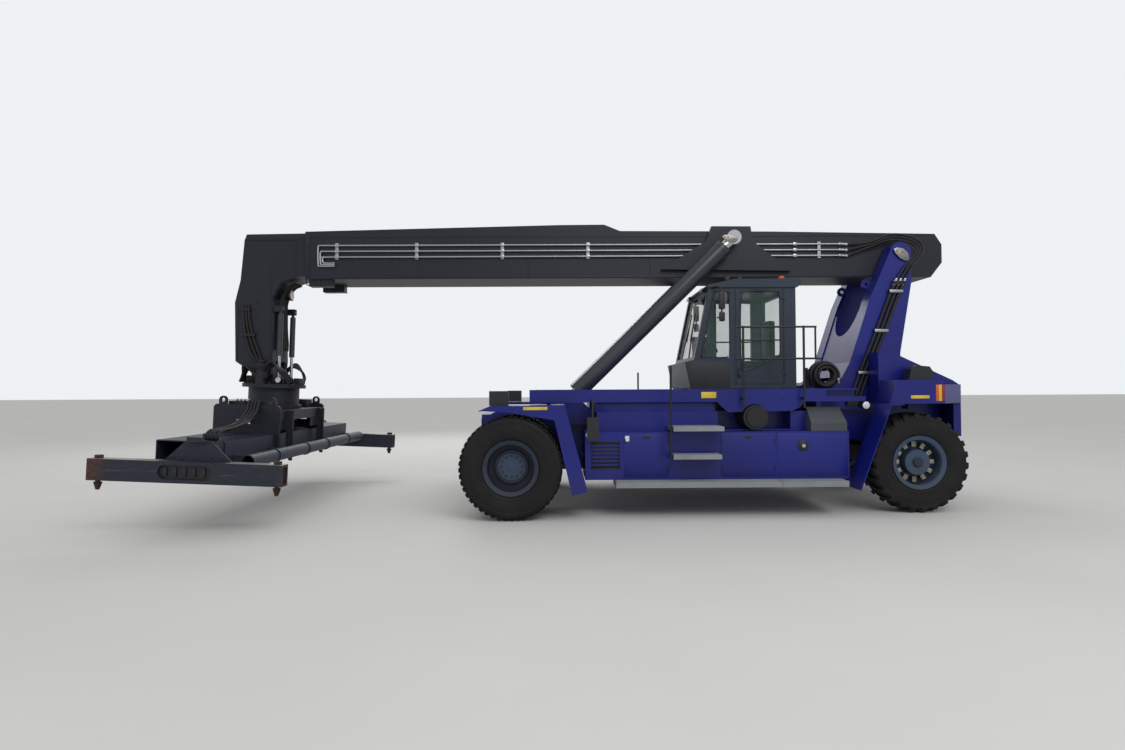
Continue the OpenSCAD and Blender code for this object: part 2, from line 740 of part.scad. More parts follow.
module console() {
    color([0.10, 0.10, 0.11]) site() {
        box([-3100, -120, cab_floor], [-3000, 120, cab_floor + 560]);
        bar([-3060, 0, cab_floor + 540], [-3250, 0, cab_floor + 720], 30);
        translate([-3250, 0, cab_floor + 720]) rotate([0, -46, 0]) {
            rotate_extrude() translate([190, 0]) circle(r = 15, $fn = 24);
            cylinder(r = 60, h = 20, center = true);
            for (i = [0:2])
                rotate([0, 0, i * 120]) translate([50, -12, -6]) cube([130, 24, 12]);
        }
        box([-3300, -430, cab_floor], [-3050, -300, cab_floor + 860]);
    }
}

// Boom

boom_half = boom_w / 2;
boom_top_z = 4400;
boom_cavity_rear = -5700;
bracket_y = 530;
boss_end = lift_y - 98;

function boom_outline() = [
    [boom_front, boom_bottom_z], [boom_front, 4445], [-720, 4541], [-1444, 4545], [-1707, 4439], [-2900, 4432], [-4263, 4422],
    [-6900, 4376], [-boom_rear, 4200], [-boom_rear, 3900], [-6828, boom_bottom_z]
];
function bracket_outline() = [[-3195, 4495], [-3836, 4491], [-3869, 4251], [-4496, 3759], [-2372, 3790], [-3107, 4254]];

inner_half = boom_half - boom_wall - boom_gap;
inner_bottom = boom_bottom_z + boom_wall + boom_gap;
inner_top = boom_top_z - 70;
pipe_z = 4206;
pipe_pitch = 95;
pipe_r = 15;
pipe_y = boom_half + 32;

module boom_outer() {
    color([0.10, 0.12, 0.17]) site() {
        difference() {
            side_plate(boom_outline(), -boom_half, boom_half);
            box([boom_cavity_rear, -boom_half + boom_wall, boom_bottom_z + boom_wall],
                [boom_front + 1, boom_half - boom_wall, boom_top_z]);
        }
        both_sides() {
            difference() {
                side_plate(bracket_outline(), boom_half - 1, bracket_y);
                box([-4600, boom_half, pipe_z - 2 * pipe_pitch - 35], [-2300, bracket_y - 20, pipe_z + 35]);
            }
            bar_y(-lift_head_back, lift_head_z, bracket_y - 20, boss_end, 110);
            bar_y(-pivot_back, pivot_z, boom_half - 1, post_in - 6, 150);
            box([3300, inner_half + seat, 3850], [3440, boom_half - boom_wall + 1, 4200]);
            box([3032, 250, boom_bottom_z - 110], [3400, 420, boom_bottom_z + 1]);
        }
        box([3300, -300, boom_bottom_z + boom_wall - 1], [3440, 300, inner_bottom - seat]);
        box([3300, -300, inner_top + seat], [3440, 300, boom_top_z + 1]);
        bar_y(-pivot_back, pivot_z, -post_out - 30, post_out + 30, pivot_pin_r);
    }
}

module boom_pipes() {
    color([0.70, 0.72, 0.74]) site() {
        for (i = [0:2])
            bar([3190, pipe_y, pipe_z - i * pipe_pitch], [-5300, pipe_y, pipe_z - i * pipe_pitch], pipe_r);
        for (x = [2900, 1600, 200, -1200, -5000])
            box([x, boom_half, pipe_z - 2 * pipe_pitch - 40], [x + 50, pipe_y, pipe_z + 40]);
    }
}

neck_half = neck_w / 2;
cheek_r = 150;
neck_rear = 4034;

function neck_outline() = [
    [3500, inner_top], [3500, inner_bottom], [3700, inner_bottom], [3900, 3640], [neck_rear, 3400],
    [neck_rear, tilt_z + cheek_r], [4640, tilt_z + cheek_r], [4652, 3300], [4561, 3671], [4498, inner_top],
    [4460, inner_top + 99], [4200, inner_top + 99], [4000, inner_top]
];

damper_y = 268;
damper_top = [damper_top_x, damper_top_z];
damper_eye = tilted(tilt_x - damper_eye_back, tilt_z - damper_eye_drop);
damper_pin_r = 22;

module boom_inner() {
    color([0.09, 0.11, 0.16]) site() {
        difference() {
            box([-5500, -inner_half, inner_bottom], [3600, inner_half, inner_top]);
            box([-5501, -inner_half + boom_wall, inner_bottom + boom_wall], [3300, inner_half - boom_wall, inner_top - boom_wall]);
        }
        side_plate(neck_outline(), -neck_half, neck_half);
        box([-5490, -300, inner_bottom - boom_gap + seat], [-5350, 300, inner_bottom + 1]);
        box([-5490, -300, inner_top - 1], [-5350, 300, boom_top_z - seat]);
        both_sides() {
            difference() {
                side_plate(concat([[neck_rear, tilt_z + cheek_r + 1]], arc(tilt_x, tilt_z, cheek_r, 200, 340, 12),
                    [[4640, tilt_z + cheek_r + 1]]), neck_half - 100, neck_half);
                bar_y(tilt_x, tilt_z, neck_half - 101, neck_half + 1, tilt_pin_r + pin_gap);
            }
            for (y = [damper_y - 44, damper_y + 28])
                box([damper_top_x - 45, y, damper_top_z - 50], [neck_rear + 1, y + 16, damper_top_z + 50]);
            bar_y(damper_top_x, damper_top_z, damper_y - 44, damper_y + 44, damper_pin_r);
        }
    }
}

// Lift cylinders

lift_foot = [-lift_foot_back, lift_foot_z];
lift_head = [-lift_head_back, lift_head_z];
lift_len = norm(lift_head - lift_foot);
lift_angle = atan2(lift_head[1] - lift_foot[1], lift_head[0] - lift_foot[0]);
lift_eye_half = 70;

// Places a piece with its Z axis along the left lift cylinder, from its lower pin
module lift_site() {
    site() translate([lift_foot[0], lift_y, lift_foot[1]]) rotate([0, 90 - lift_angle, 0]) children();
}

module lift_barrel() {
    color([0.16, 0.20, 0.27]) lift_site() difference() {
        union() {
            bar_y(0, 0, -lift_eye_half, lift_eye_half, 110);
            cylinder(r = lift_eye_half - 2, h = 200);
            translate([0, 0, 155]) cylinder(r = barrel_r, h = lift_len - 400);
            translate([0, 0, lift_len - 300]) cylinder(r = barrel_r + 5, h = 80);
        }
        bar_y(0, 0, -lift_eye_half - 1, lift_eye_half + 1, lift_pin_r + pin_gap);
        translate([0, 0, 260]) cylinder(r = rod_r + pin_gap, h = lift_len);
    }
}

// The upper pin stays with the rod's eye and ends short of the boom's boss
module lift_rod() {
    color([0.75, 0.76, 0.78]) lift_site() {
        translate([0, 0, 300]) cylinder(r = rod_r, h = lift_len - 390);
        bar_y(0, lift_len, -lift_eye_half, lift_eye_half, 115);
        bar_y(0, lift_len, boss_end - lift_y + seat, 95, lift_pin_r);
    }
}

module lift_barrel_left() { lift_barrel(); }
module lift_barrel_right() { mirror([0, 1, 0]) lift_barrel(); }
module lift_rod_left() { lift_rod(); }
module lift_rod_right() { mirror([0, 1, 0]) lift_rod(); }

// Tilt dampers

damper_len = norm(damper_top - damper_eye);
damper_angle = atan2(damper_eye[1] - damper_top[1], damper_eye[0] - damper_top[0]);
damper_bore = 26;
damper_eye_half = 27;

// Places a piece with its Z axis along the left damper, from its upper pin
module damper_site() {
    site() translate([damper_top[0], damper_y, damper_top[1]]) rotate([0, 90 - damper_angle, 0]) children();
}

module damper_barrels() {
    color([0.09, 0.10, 0.12]) both_sides() damper_site() difference() {
        union() {
            bar_y(0, 0, -damper_eye_half, damper_eye_half, 42);
            translate([0, 0, 35]) cylinder(r = 26, h = 60);
            translate([0, 0, 90]) cylinder(r = 45, h = damper_len - 490);
        }
        bar_y(0, 0, -damper_eye_half - 1, damper_eye_half + 1, damper_pin_r + pin_gap);
        translate([0, 0, 110]) cylinder(r = damper_bore, h = damper_len);
    }
}

module damper_rods() {
    color([0.75, 0.76, 0.78]) both_sides() damper_site() {
        translate([0, 0, damper_len - 690]) cylinder(r = damper_bore - pin_gap, h = 660);
        bar_y(0, damper_len, -damper_eye_half, damper_eye_half, 42);
    }
}

// Tilt head, rotator and spreader

head_z = 1960;
head_t = 60;
head_r = rotator_r + 60;
ring_z = 1620;
frame_deck_z = 1560;
motor_y = 430;

module tilt_head() {
    color([0.09, 0.10, 0.12]) spreader_site() {
        side_plate(concat(arc(tilt_x, tilt_z, 140, 0, 180, 12), [[tilt_x - 140, head_z - 1], [tilt_x + 140, head_z - 1]]),
            -neck_half + 106, neck_half - 106);
        bar_y(tilt_x, tilt_z, -neck_half - 20, neck_half + 20, tilt_pin_r);
        translate([rotator_x, 0, head_z - head_t]) cylinder(r = head_r, h = head_t);
        both_sides() {
            translate([rotator_x + 60, motor_y, head_z - 1]) cylinder(r = 75, h = 240);
            side_plate(concat([[tilt_x - damper_eye_back - 60, head_z - 1], [tilt_x - 140, head_z - 1],
                [tilt_x - damper_eye_back + 60, tilt_z - damper_eye_drop]],
                arc(tilt_x - damper_eye_back, tilt_z - damper_eye_drop, 60, 0, 180, 10)),
                damper_y - damper_eye_half - 5 - 30, damper_y - damper_eye_half - 5);
        }
    }
}

module rotator() {
    color([0.10, 0.11, 0.13]) spreader_site() {
        translate([rotator_x, 0, ring_z]) cylinder(r = rotator_r - 40, h = head_z - head_t - seat - ring_z);
        translate([rotator_x, 0, frame_deck_z + seat]) cylinder(r = rotator_r, h = ring_z - frame_deck_z + 1 - seat);
    }
}

main_top = landing_z + 500;
main_low = main_top - main_h;
tele_x = 235;
main_half = tele_x + main_w / 2;
shift_half = main_half + 60;
shift_y = 1000;
lug_x = 375;
lug_up = 65;
lug_hole = 32;
frame_r = 60;

// Outline of a plate with two rounded top corners
function rounded_plate(x0, x1, z0, z1, r) = concat([[x0, z0]], arc(x0 + r, z1 - r, r, 180, 90, 6),
    arc(x1 - r, z1 - r, r, 90, 0, 6), [[x1, z0]]);

module shift_frame() {
    color([0.10, 0.12, 0.18]) spreader_site() {
        box([rotator_x - shift_half, -shift_y, frame_deck_z - 60], [rotator_x + shift_half, shift_y, frame_deck_z]);
        // Guide plates round the box beams, with a window between each pair of legs
        both_sides() {
            difference() {
                side_plate(rounded_plate(rotator_x - shift_half, rotator_x + shift_half, main_low - 50, frame_deck_z + 70,
                    frame_r), shift_y - 40, shift_y);
                box([rotator_x - main_half - seat, shift_y - 41, main_low - seat], [rotator_x + main_half + seat, shift_y + 1,
                    main_top + seat]);
                box([rotator_x - main_half + 80, shift_y - 41, main_low - 51], [rotator_x + main_half - 80, shift_y + 1, main_low + 1]);
                side_plate(concat(arc(rotator_x + 140, frame_deck_z - 190, 35, 270, 450, 8), arc(rotator_x - 200,
                    frame_deck_z - 190, 35, 90, 270, 8)), shift_y - 41, shift_y + 1);
            }
            for (x = [-lug_x, lug_x])
                difference() {
                    union() {
                        bar_y(rotator_x + x, frame_deck_z + 70 + lug_up, shift_y - 40, shift_y, 62);
                        box([rotator_x + x - 62, shift_y - 40, frame_deck_z + 60], [rotator_x + x + 62, shift_y,
                            frame_deck_z + 70 + lug_up]);
                    }
                    bar_y(rotator_x + x, frame_deck_z + 70 + lug_up, shift_y - 41, shift_y + 1, lug_hole);
                }
            // Inner frame between the guide plates
            for (x = [-shift_half + 15, -60, shift_half - 35])
                box([rotator_x + x, 380, main_top + 60], [rotator_x + x + 20, shift_y - 39, frame_deck_z - 59]);
            // Shift cylinder's bracket and hose guard on the rear side
            box([rotator_x - shift_half - 70, shift_y - 330, main_low - 30], [rotator_x - shift_half + 1, shift_y - 270,
                frame_deck_z - 20]);
        }
        for (x = [-shift_half, shift_half - 20])
            box([rotator_x + x, -shift_y + 39, frame_deck_z - 160], [rotator_x + x + 20, shift_y - 39, frame_deck_z - 59]);
    }
}

module main_tube(x) {
    difference() {
        box([x - main_w / 2, -main_l / 2, main_low], [x + main_w / 2, main_l / 2, main_top]);
        box([x - main_w / 2 + main_wall, -main_l / 2 - 1, main_low + main_wall],
            [x + main_w / 2 - main_wall, main_l / 2 + 1, main_top - main_wall]);
    }
}

guide_r = 90;
guide_x = 735;
guide_z = 940;
guide_l = 5100;

module spreader_main() {
    color([0.10, 0.12, 0.18]) spreader_site() {
        main_tube(rotator_x - tele_x);
        main_tube(rotator_x + tele_x);
        for (y = [-2400, -800, 740, 2340])
            box([rotator_x - tele_x + main_w / 2 - 1, y, main_low], [rotator_x + tele_x - main_w / 2 + 1, y + 60, main_top]);
        difference() {
            union() {
                bar_y(rotator_x - guide_x, guide_z, -guide_l / 2, guide_l / 2, guide_r);
                for (y = [-1700, -500, 460, 1660])
                    bar_y(rotator_x - guide_x, guide_z, y, y + 40, guide_r + 14);
            }
            bar_y(rotator_x - guide_x, guide_z, -guide_l / 2 - 1, guide_l / 2 + 1, guide_r - 12);
        }
        for (y = [-2400, -1200, 1160, 2340])
            box([rotator_x - guide_x + guide_r - 8, y, guide_z - 40], [rotator_x - main_half + 1, y + 40, guide_z + 60]);
    }
}

tele_wall = 14;
tele_w = main_w - 2 * main_wall - 2 * seat;
tele_h = main_h - 2 * main_wall - 2 * seat;
tele_top = main_top - main_wall - seat;
tele_tail = -1900;
end_face = lock_length / 2 + end_beam_w / 2;

slot_half = [340, 90];

// A telescopic beam with its end beam, reaching to +Y
module spreader_beam(x) {
    back = end_face - end_beam_w;
    top = landing_z + end_beam_h;
    difference() {
        box([x - tele_w / 2, tele_tail, tele_top - tele_h], [x + tele_w / 2, back + 1, tele_top]);
        box([x - tele_w / 2 + tele_wall, tele_tail - 1, tele_top - tele_h + tele_wall],
            [x + tele_w / 2 - tele_wall, back - 60, tele_top - tele_wall]);
    }
    difference() {
        box([beam_x - end_beam_l / 2, back, landing_z], [beam_x + end_beam_l / 2, end_face, top]);
        for (s = [-1, 1])
            translate([beam_x + s * lock_width / 2, lock_length / 2, landing_z - 1]) cylinder(r = lock_r - 1, h = end_beam_h + 2);
        // Long round-ended slot in the outer face
        side_plate(concat(arc(beam_x + slot_half[0] - slot_half[1], landing_z + 136, slot_half[1], 270, 450, 12),
            arc(beam_x - slot_half[0] + slot_half[1], landing_z + 136, slot_half[1], 90, 270, 12)), end_face - 40, end_face + 1);
        // Openings at the ends
        for (s = [-1, 1])
            box([beam_x + s * (end_beam_l / 2 - 15) - 16, back + 20, landing_z + 30], [beam_x + s * (end_beam_l / 2 - 15) + 16,
                end_face - 20, top - 30]);
    }
    // Gusset over the end beam, with side ribs down to the arm
    side_plate([[x - 430, top - 1], [x + 430, top - 1], [x + 160, landing_z + 530], [x - 160, landing_z + 530]], back, back + 16);
    for (s = [-1, 1])
        box([x + s * 190 - 8, back - 220, tele_top - 1], [x + s * 190 + 8, back + 1, tele_top + 34]);
    // Hose bracket on the gusset
    box([x - 110, back + 2, landing_z + 520], [x + 110, back + 110, landing_z + 536]);
    box([x - 110, back + 94, landing_z + 535], [x + 110, back + 110, landing_z + 580]);
}

module spreader_beam_left() {
    color([0.11, 0.13, 0.18]) spreader_site() spreader_beam(rotator_x - tele_x);
}

module spreader_beam_right() {
    color([0.11, 0.13, 0.18]) spreader_site() mirror([0, 1, 0]) spreader_beam(rotator_x + tele_x);
}

module twistlock(s_x, s_y) {
    color([0.35, 0.20, 0.14]) spreader_site() translate([beam_x + s_x * lock_width / 2, s_y * lock_length / 2, landing_z]) {
        translate([0, 0, -10]) cylinder(r = lock_r - 2, h = end_beam_h + 40);
        translate([0, 0, -lock_neck]) cylinder(r = lock_r, h = lock_neck - seat);
        intersection() {
            translate([0, 0, -lock_neck - 95]) cylinder(r1 = 22, r2 = 52, h = 95.5);
            box([-52, -28, -lock_neck - 96], [52, 28, 0]);
        }
        translate([0, 0, end_beam_h + seat]) cylinder(r = 50, h = 40);
    }
}

module twistlock_left_front() { twistlock(1, 1); }
module twistlock_left_rear() { twistlock(-1, 1); }
module twistlock_right_front() { twistlock(1, -1); }
module twistlock_right_rear() { twistlock(-1, -1); }

chassis_frame();
deck();
side_tanks();
battery_boxes();
air_filters();
steps();
front_fenders();
counterweight();
engine_block();
engine_hood();
tower_posts();
handrails();
lamps();
mirrors();
rear_hoses();
hose_coil();
drive_axle();
front_tyres_left();
front_rims_left();
front_tyres_right();
front_rims_right();
steer_axle();
knuckle_left();
knuckle_right();
rear_tyre_left();
rear_rim_left();
rear_tyre_right();
rear_rim_right();
cab_shell();
cab_roof();
cab_glass();
cab_door();
door_glass();
seat_piece();  // seat
console();
lift_barrel_left();
lift_barrel_right();
lift_rod_left();
lift_rod_right();
boom_outer();
boom_pipes();
boom_inner();
damper_barrels();
damper_rods();
tilt_head();
rotator();
shift_frame();
spreader_main();
spreader_beam_left();
spreader_beam_right();
twistlock_left_front();
twistlock_left_rear();
twistlock_right_front();
twistlock_right_rear();
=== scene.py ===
"""Reach stacker: camera, light, floor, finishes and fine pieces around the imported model."""

import json
import math
import bpy
from mathutils import Matrix, Vector
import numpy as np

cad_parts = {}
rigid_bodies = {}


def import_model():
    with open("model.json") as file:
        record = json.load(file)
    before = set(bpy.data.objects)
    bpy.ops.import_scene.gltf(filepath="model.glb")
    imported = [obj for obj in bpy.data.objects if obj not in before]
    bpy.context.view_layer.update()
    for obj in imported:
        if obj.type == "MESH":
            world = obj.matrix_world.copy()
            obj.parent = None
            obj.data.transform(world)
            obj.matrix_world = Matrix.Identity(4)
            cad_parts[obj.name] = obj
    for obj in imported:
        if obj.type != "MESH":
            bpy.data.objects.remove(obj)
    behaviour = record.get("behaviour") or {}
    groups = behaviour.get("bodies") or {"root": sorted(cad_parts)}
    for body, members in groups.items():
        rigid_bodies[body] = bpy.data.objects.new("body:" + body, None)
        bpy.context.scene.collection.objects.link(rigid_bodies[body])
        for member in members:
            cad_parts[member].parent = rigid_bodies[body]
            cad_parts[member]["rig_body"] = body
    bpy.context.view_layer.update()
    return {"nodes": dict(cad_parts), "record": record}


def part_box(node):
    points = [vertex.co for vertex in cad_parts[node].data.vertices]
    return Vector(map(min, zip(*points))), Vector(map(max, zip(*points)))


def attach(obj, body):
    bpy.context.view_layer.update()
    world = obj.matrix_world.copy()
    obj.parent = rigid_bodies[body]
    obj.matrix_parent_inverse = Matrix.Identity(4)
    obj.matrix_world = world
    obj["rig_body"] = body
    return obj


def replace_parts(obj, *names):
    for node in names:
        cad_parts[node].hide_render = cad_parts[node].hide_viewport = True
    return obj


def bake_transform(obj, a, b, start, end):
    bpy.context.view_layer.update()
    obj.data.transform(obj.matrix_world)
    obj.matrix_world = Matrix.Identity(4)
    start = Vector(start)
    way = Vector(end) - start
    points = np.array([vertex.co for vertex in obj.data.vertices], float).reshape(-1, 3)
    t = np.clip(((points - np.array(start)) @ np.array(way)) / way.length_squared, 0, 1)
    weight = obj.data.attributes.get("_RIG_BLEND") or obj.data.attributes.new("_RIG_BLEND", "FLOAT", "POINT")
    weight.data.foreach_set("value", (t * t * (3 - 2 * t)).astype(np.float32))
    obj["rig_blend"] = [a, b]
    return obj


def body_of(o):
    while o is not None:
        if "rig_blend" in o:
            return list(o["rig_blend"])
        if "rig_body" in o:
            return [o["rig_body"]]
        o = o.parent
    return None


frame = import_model()

# The drive axle's place in the machine's frame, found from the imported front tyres
tyre_low, tyre_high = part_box("front_tyres_left")
AXLE_X = (tyre_low.x + tyre_high.x) / 2

# The body that carries each CAD node
BODY_OF = {}
for name, node in frame["nodes"].items():
    riders = body_of(node)
    BODY_OF[name] = riders[0] if isinstance(riders, list) else riders


# The photograph's camera, fitted to places of known size: its turn in degrees, its place in metres from
# the drive axle, and its focal length in pixels of the picture's width

CAMERA_TURN = (-0.491, 1.188, -0.299)
CAMERA_PLACE = (-0.652, 11.717, 1.841)
FOCAL_PIXELS = 688.7
PHOTO_WIDTH = 1125
SENSOR_WIDTH = 36
FAR_CLIP = 400


def add_camera():
    yaw, pitch, roll = (math.radians(angle) for angle in CAMERA_TURN)
    ahead = Vector((math.sin(yaw) * math.cos(pitch), -math.cos(yaw) * math.cos(pitch), math.sin(pitch)))
    right = ahead.cross(Vector((0, 0, 1))).normalized()
    up = right.cross(ahead)
    side = right * math.cos(roll) + up * math.sin(roll)
    top = up * math.cos(roll) - right * math.sin(roll)
    turn = Matrix((side, top, -ahead)).transposed()
    ahead_of_axle, aside, above = CAMERA_PLACE
    bpy.ops.object.camera_add(location=(AXLE_X + ahead_of_axle, aside, above), rotation=turn.to_euler())
    camera = bpy.context.object
    camera.name = "camera"
    camera.data.sensor_width = SENSOR_WIDTH
    camera.data.lens = FOCAL_PIXELS / PHOTO_WIDTH * SENSOR_WIDTH
    camera.data.clip_end = FAR_CLIP
    bpy.context.scene.camera = camera


def add_area(name, place, aim, size, power):
    bpy.ops.object.light_add(type="AREA", location=place)
    lamp = bpy.context.object
    lamp.name = name
    lamp.data.shape = "RECTANGLE"
    lamp.data.size, lamp.data.size_y = size
    lamp.data.energy = power
    lamp.rotation_euler = (Vector(aim) - Vector(place)).to_track_quat("-Z", "Y").to_euler()


# Shader maths: a wrapped socket that adds its own Math nodes

class Value:
    def __init__(self, graph, socket):
        self.graph, self.socket = graph, socket

    def _math(self, operation, first, second=None):
        values = {0: first} if second is None else {0: first, 1: second}
        return self.graph.node("Math", values, operation=operation)

    def __add__(self, other): return self._math("ADD", self, other)
    def __radd__(self, other): return self._math("ADD", other, self)
    def __sub__(self, other): return self._math("SUBTRACT", self, other)
    def __rsub__(self, other): return self._math("SUBTRACT", other, self)
    def __mul__(self, other): return self._math("MULTIPLY", self, other)
    def __rmul__(self, other): return self._math("MULTIPLY", other, self)
    def __abs__(self): return self._math("ABSOLUTE", self)
    def max(self, other): return self._math("MAXIMUM", self, other)


class Finish:
    """One material, its Principled shader and the nodes that feed it."""

    def __init__(self, name, **constants):
        self.material = bpy.data.materials.new(name)
        self.material.use_nodes = True
        self.tree = self.material.node_tree
        self.shader = self.tree.nodes["Principled BSDF"]
        for key, value in constants.items():
            self.shader.inputs[key.replace("_", " ").title().replace("Ior", "IOR")].default_value = value
        self.place = self.node("TexCoord", output="Object")

    def node(self, kind, values=None, output=0, **settings):
        made = self.tree.nodes.new("ShaderNode" + kind)
        for key, value in settings.items():
            setattr(made, key, value)
        for key, value in (values or {}).items():
            socket = made.inputs[key]
            if isinstance(value, Value):
                self.tree.links.new(value.socket, socket)
            elif isinstance(value, tuple) and len(value) == 3 and len(socket.default_value) == 4:
                socket.default_value = (*value, 1)
            else:
                socket.default_value = value
        return Value(self, made.outputs[output])

    def noise(self, scale, detail=4, rough=0.55, stretch=None):
        where = self.place
        if stretch:
            where = self.node("Mapping", {"Vector": where, "Scale": stretch})
        return self.node("TexNoise", {"Vector": where, "Scale": scale, "Detail": detail, "Roughness": rough})

    def fade(self, value, low, high):
        """Rises smoothly from 0 to 1 while the value goes from low to high."""
        ends = {"Value": value, "From Min": low, "From Max": high, "To Min": 0.0, "To Max": 1.0}
        return self.node("MapRange", ends, interpolation_type="SMOOTHSTEP")

    def mix(self, mask, first, second):
        return self.node("Mix", {0: mask, 6: first, 7: second}, 2, data_type="RGBA")

    def axis(self, name):
        return self.node("SeparateXYZ", {0: self.place}, name)

    def bump(self, height, strength=0.3, distance=0.002):
        return self.node("Bump", {"Height": height, "Strength": strength, "Distance": distance})

    def feed(self, **links):
        for key, value in links.items():
            self.tree.links.new(value.socket, self.shader.inputs[key.replace("_", " ").title()])
        return self.material


def rgb(red, green, blue):
    """A colour written as the eye sees it, 0 to 255, as the linear values that a shader takes."""
    shares = (value / 255 for value in (red, green, blue))
    return tuple(c / 12.92 if c <= 0.04045 else ((c + 0.055) / 1.055) ** 2.4 for c in shares)


def tone(colour, factor):
    return tuple(min(1.0, c * factor) for c in colour)


def sprayed_paint(name, colour, rough, dusty, dust_z=(0.3, 1.3), dust=rgb(70, 66, 60), wear=None,
                    wear_amount=0.0, coat=0.0):
    """Sprayed paint: slow colour drift, road dust that gathers low down, streaks and bare spots."""
    f = Finish(name, coat_weight=coat, coat_roughness=0.15, specular_ior_level=0.35)
    slow = f.noise(0.9, 3, 0.5)
    fine = f.noise(26, 6, 0.6)
    streak = f.noise(1.0, 5, 0.6, (9.0, 9.0, 0.7))
    paint = f.mix(f.fade(slow, 0.3, 0.7), tone(colour, 0.86), tone(colour, 1.16))
    low = 1 - f.fade(f.axis("Z"), *dust_z)
    grime = f.fade(low * 0.55 + streak * 0.6 + fine * 0.25, 0.62, 1.15) * dusty
    paint = f.mix(grime, paint, dust)
    rough_value = rough + grime * 0.45 + (fine - 0.5) * 0.12
    if wear:
        chips = f.fade(f.noise(7.5, 9, 0.72), 0.66 - wear_amount * 0.22, 0.70)
        scratch = f.fade(f.noise(3.0, 8, 0.7, (0.6, 0.6, 14.0)), 0.68 - wear_amount * 0.14, 0.74)
        bare = chips.max(scratch) * min(1.0, 0.35 + wear_amount)
        paint = f.mix(bare, paint, wear)
        rough_value = rough_value + bare * 0.25
    return f.feed(base_color=paint, roughness=rough_value, normal=f.bump(fine + slow * 2, 0.06, 0.002))


def end_beam_paint(name, colour, middle):
    """Scuffed paint that turns to rust at the ends of the beams and to bare metal in long scratches."""
    f = Finish(name, specular_ior_level=0.4)
    coarse = f.noise(2.6, 8, 0.68)
    fine = f.noise(34, 6, 0.65)
    scratch = f.noise(2.2, 9, 0.72, (0.5, 0.5, 11.0))
    reach = abs(f.axis("X") - middle)
    rust = f.fade(reach + coarse * 0.5 + fine * 0.12, 1.36, 1.58)
    blotch = f.fade(coarse * 0.8 + fine * 0.25, 0.60, 0.72) * 0.7
    paint = f.mix(f.fade(fine, 0.3, 0.7), tone(colour, 0.8), tone(colour, 1.3))
    paint = f.mix(f.fade(scratch, 0.56, 0.72) * 0.6, paint, rgb(92, 94, 104))
    paint = f.mix(blotch, paint, rgb(58, 46, 46))
    paint = f.mix(rust, paint, f.mix(f.fade(fine, 0.3, 0.7), rgb(50, 38, 38), rgb(84, 56, 48)))
    return f.feed(base_color=paint, roughness=0.5 + rust * 0.3 + blotch * 0.2,
                  normal=f.bump(fine + coarse * 2, 0.12, 0.003))


def rubber(name, colour, dust_amount, rough=0.78):
    f = Finish(name, specular_ior_level=0.35)
    grain = f.noise(55, 6, 0.65)
    cloud = f.noise(2.4, 6, 0.6)
    dust = f.fade(cloud * 0.7 + grain * 0.4, 0.48, 0.82) * dust_amount
    shade = f.mix(f.fade(grain, 0.3, 0.7), tone(colour, 0.8), tone(colour, 1.25))
    return f.feed(base_color=f.mix(dust, shade, rgb(74, 70, 64)), roughness=rough + dust * 0.15,
                  normal=f.bump(grain, 0.25, 0.002))


def metal(name, colour, rough, grain=(1.0, 60.0, 60.0), metallic=1.0, stain=0.3):
    f = Finish(name, metallic=metallic)
    lines = f.noise(4, 5, 0.6, grain)
    cloud = f.noise(3.2, 5, 0.6)
    tint = f.mix(f.fade(cloud, 0.42, 0.72) * stain, colour, rgb(66, 62, 56))
    return f.feed(base_color=f.mix(f.fade(lines, 0.3, 0.7), tint, tone(colour, 0.8)),
                  roughness=rough + (lines - 0.5) * 0.2 + f.fade(cloud, 0.42, 0.72) * stain * 0.5,
                  normal=f.bump(lines, 0.08, 0.001))


def plastic(name, colour, rough=0.5):
    f = Finish(name, specular_ior_level=0.45)
    grain = f.noise(240, 3, 0.6)
    cloud = f.noise(5, 4, 0.6)
    return f.feed(base_color=f.mix(f.fade(cloud, 0.3, 0.8), tone(colour, 0.85), tone(colour, 1.2)),
                  roughness=rough + (cloud - 0.5) * 0.2, normal=f.bump(grain, 0.12, 0.0006))


def clear_glass(name, tint):
    f = Finish(name, roughness=0.03, ior=1.45, specular_ior_level=0.6)
    smear = f.noise(1.1, 2, 0.5, (1.0, 1.0, 0.5))
    return f.feed(base_color=f.mix(f.fade(smear, 0.35, 0.75), tint, tone(tint, 1.25)),
                  alpha=0.16 + f.fade(smear, 0.4, 0.8) * 0.06)


def woven(name, colour):
    f = Finish(name, roughness=0.9, sheen_weight=0.3)
    weave = f.node("TexWave", {"Vector": f.place, "Scale": 120.0, "Distortion": 1.0, "Detail": 2.0}, 1,
                   wave_type="BANDS", bands_direction="DIAGONAL")
    return f.feed(base_color=f.mix(weave, tone(colour, 0.7), tone(colour, 1.4)),
                  normal=f.bump(weave, 0.4, 0.001))


# One finish for each material slot of the solids

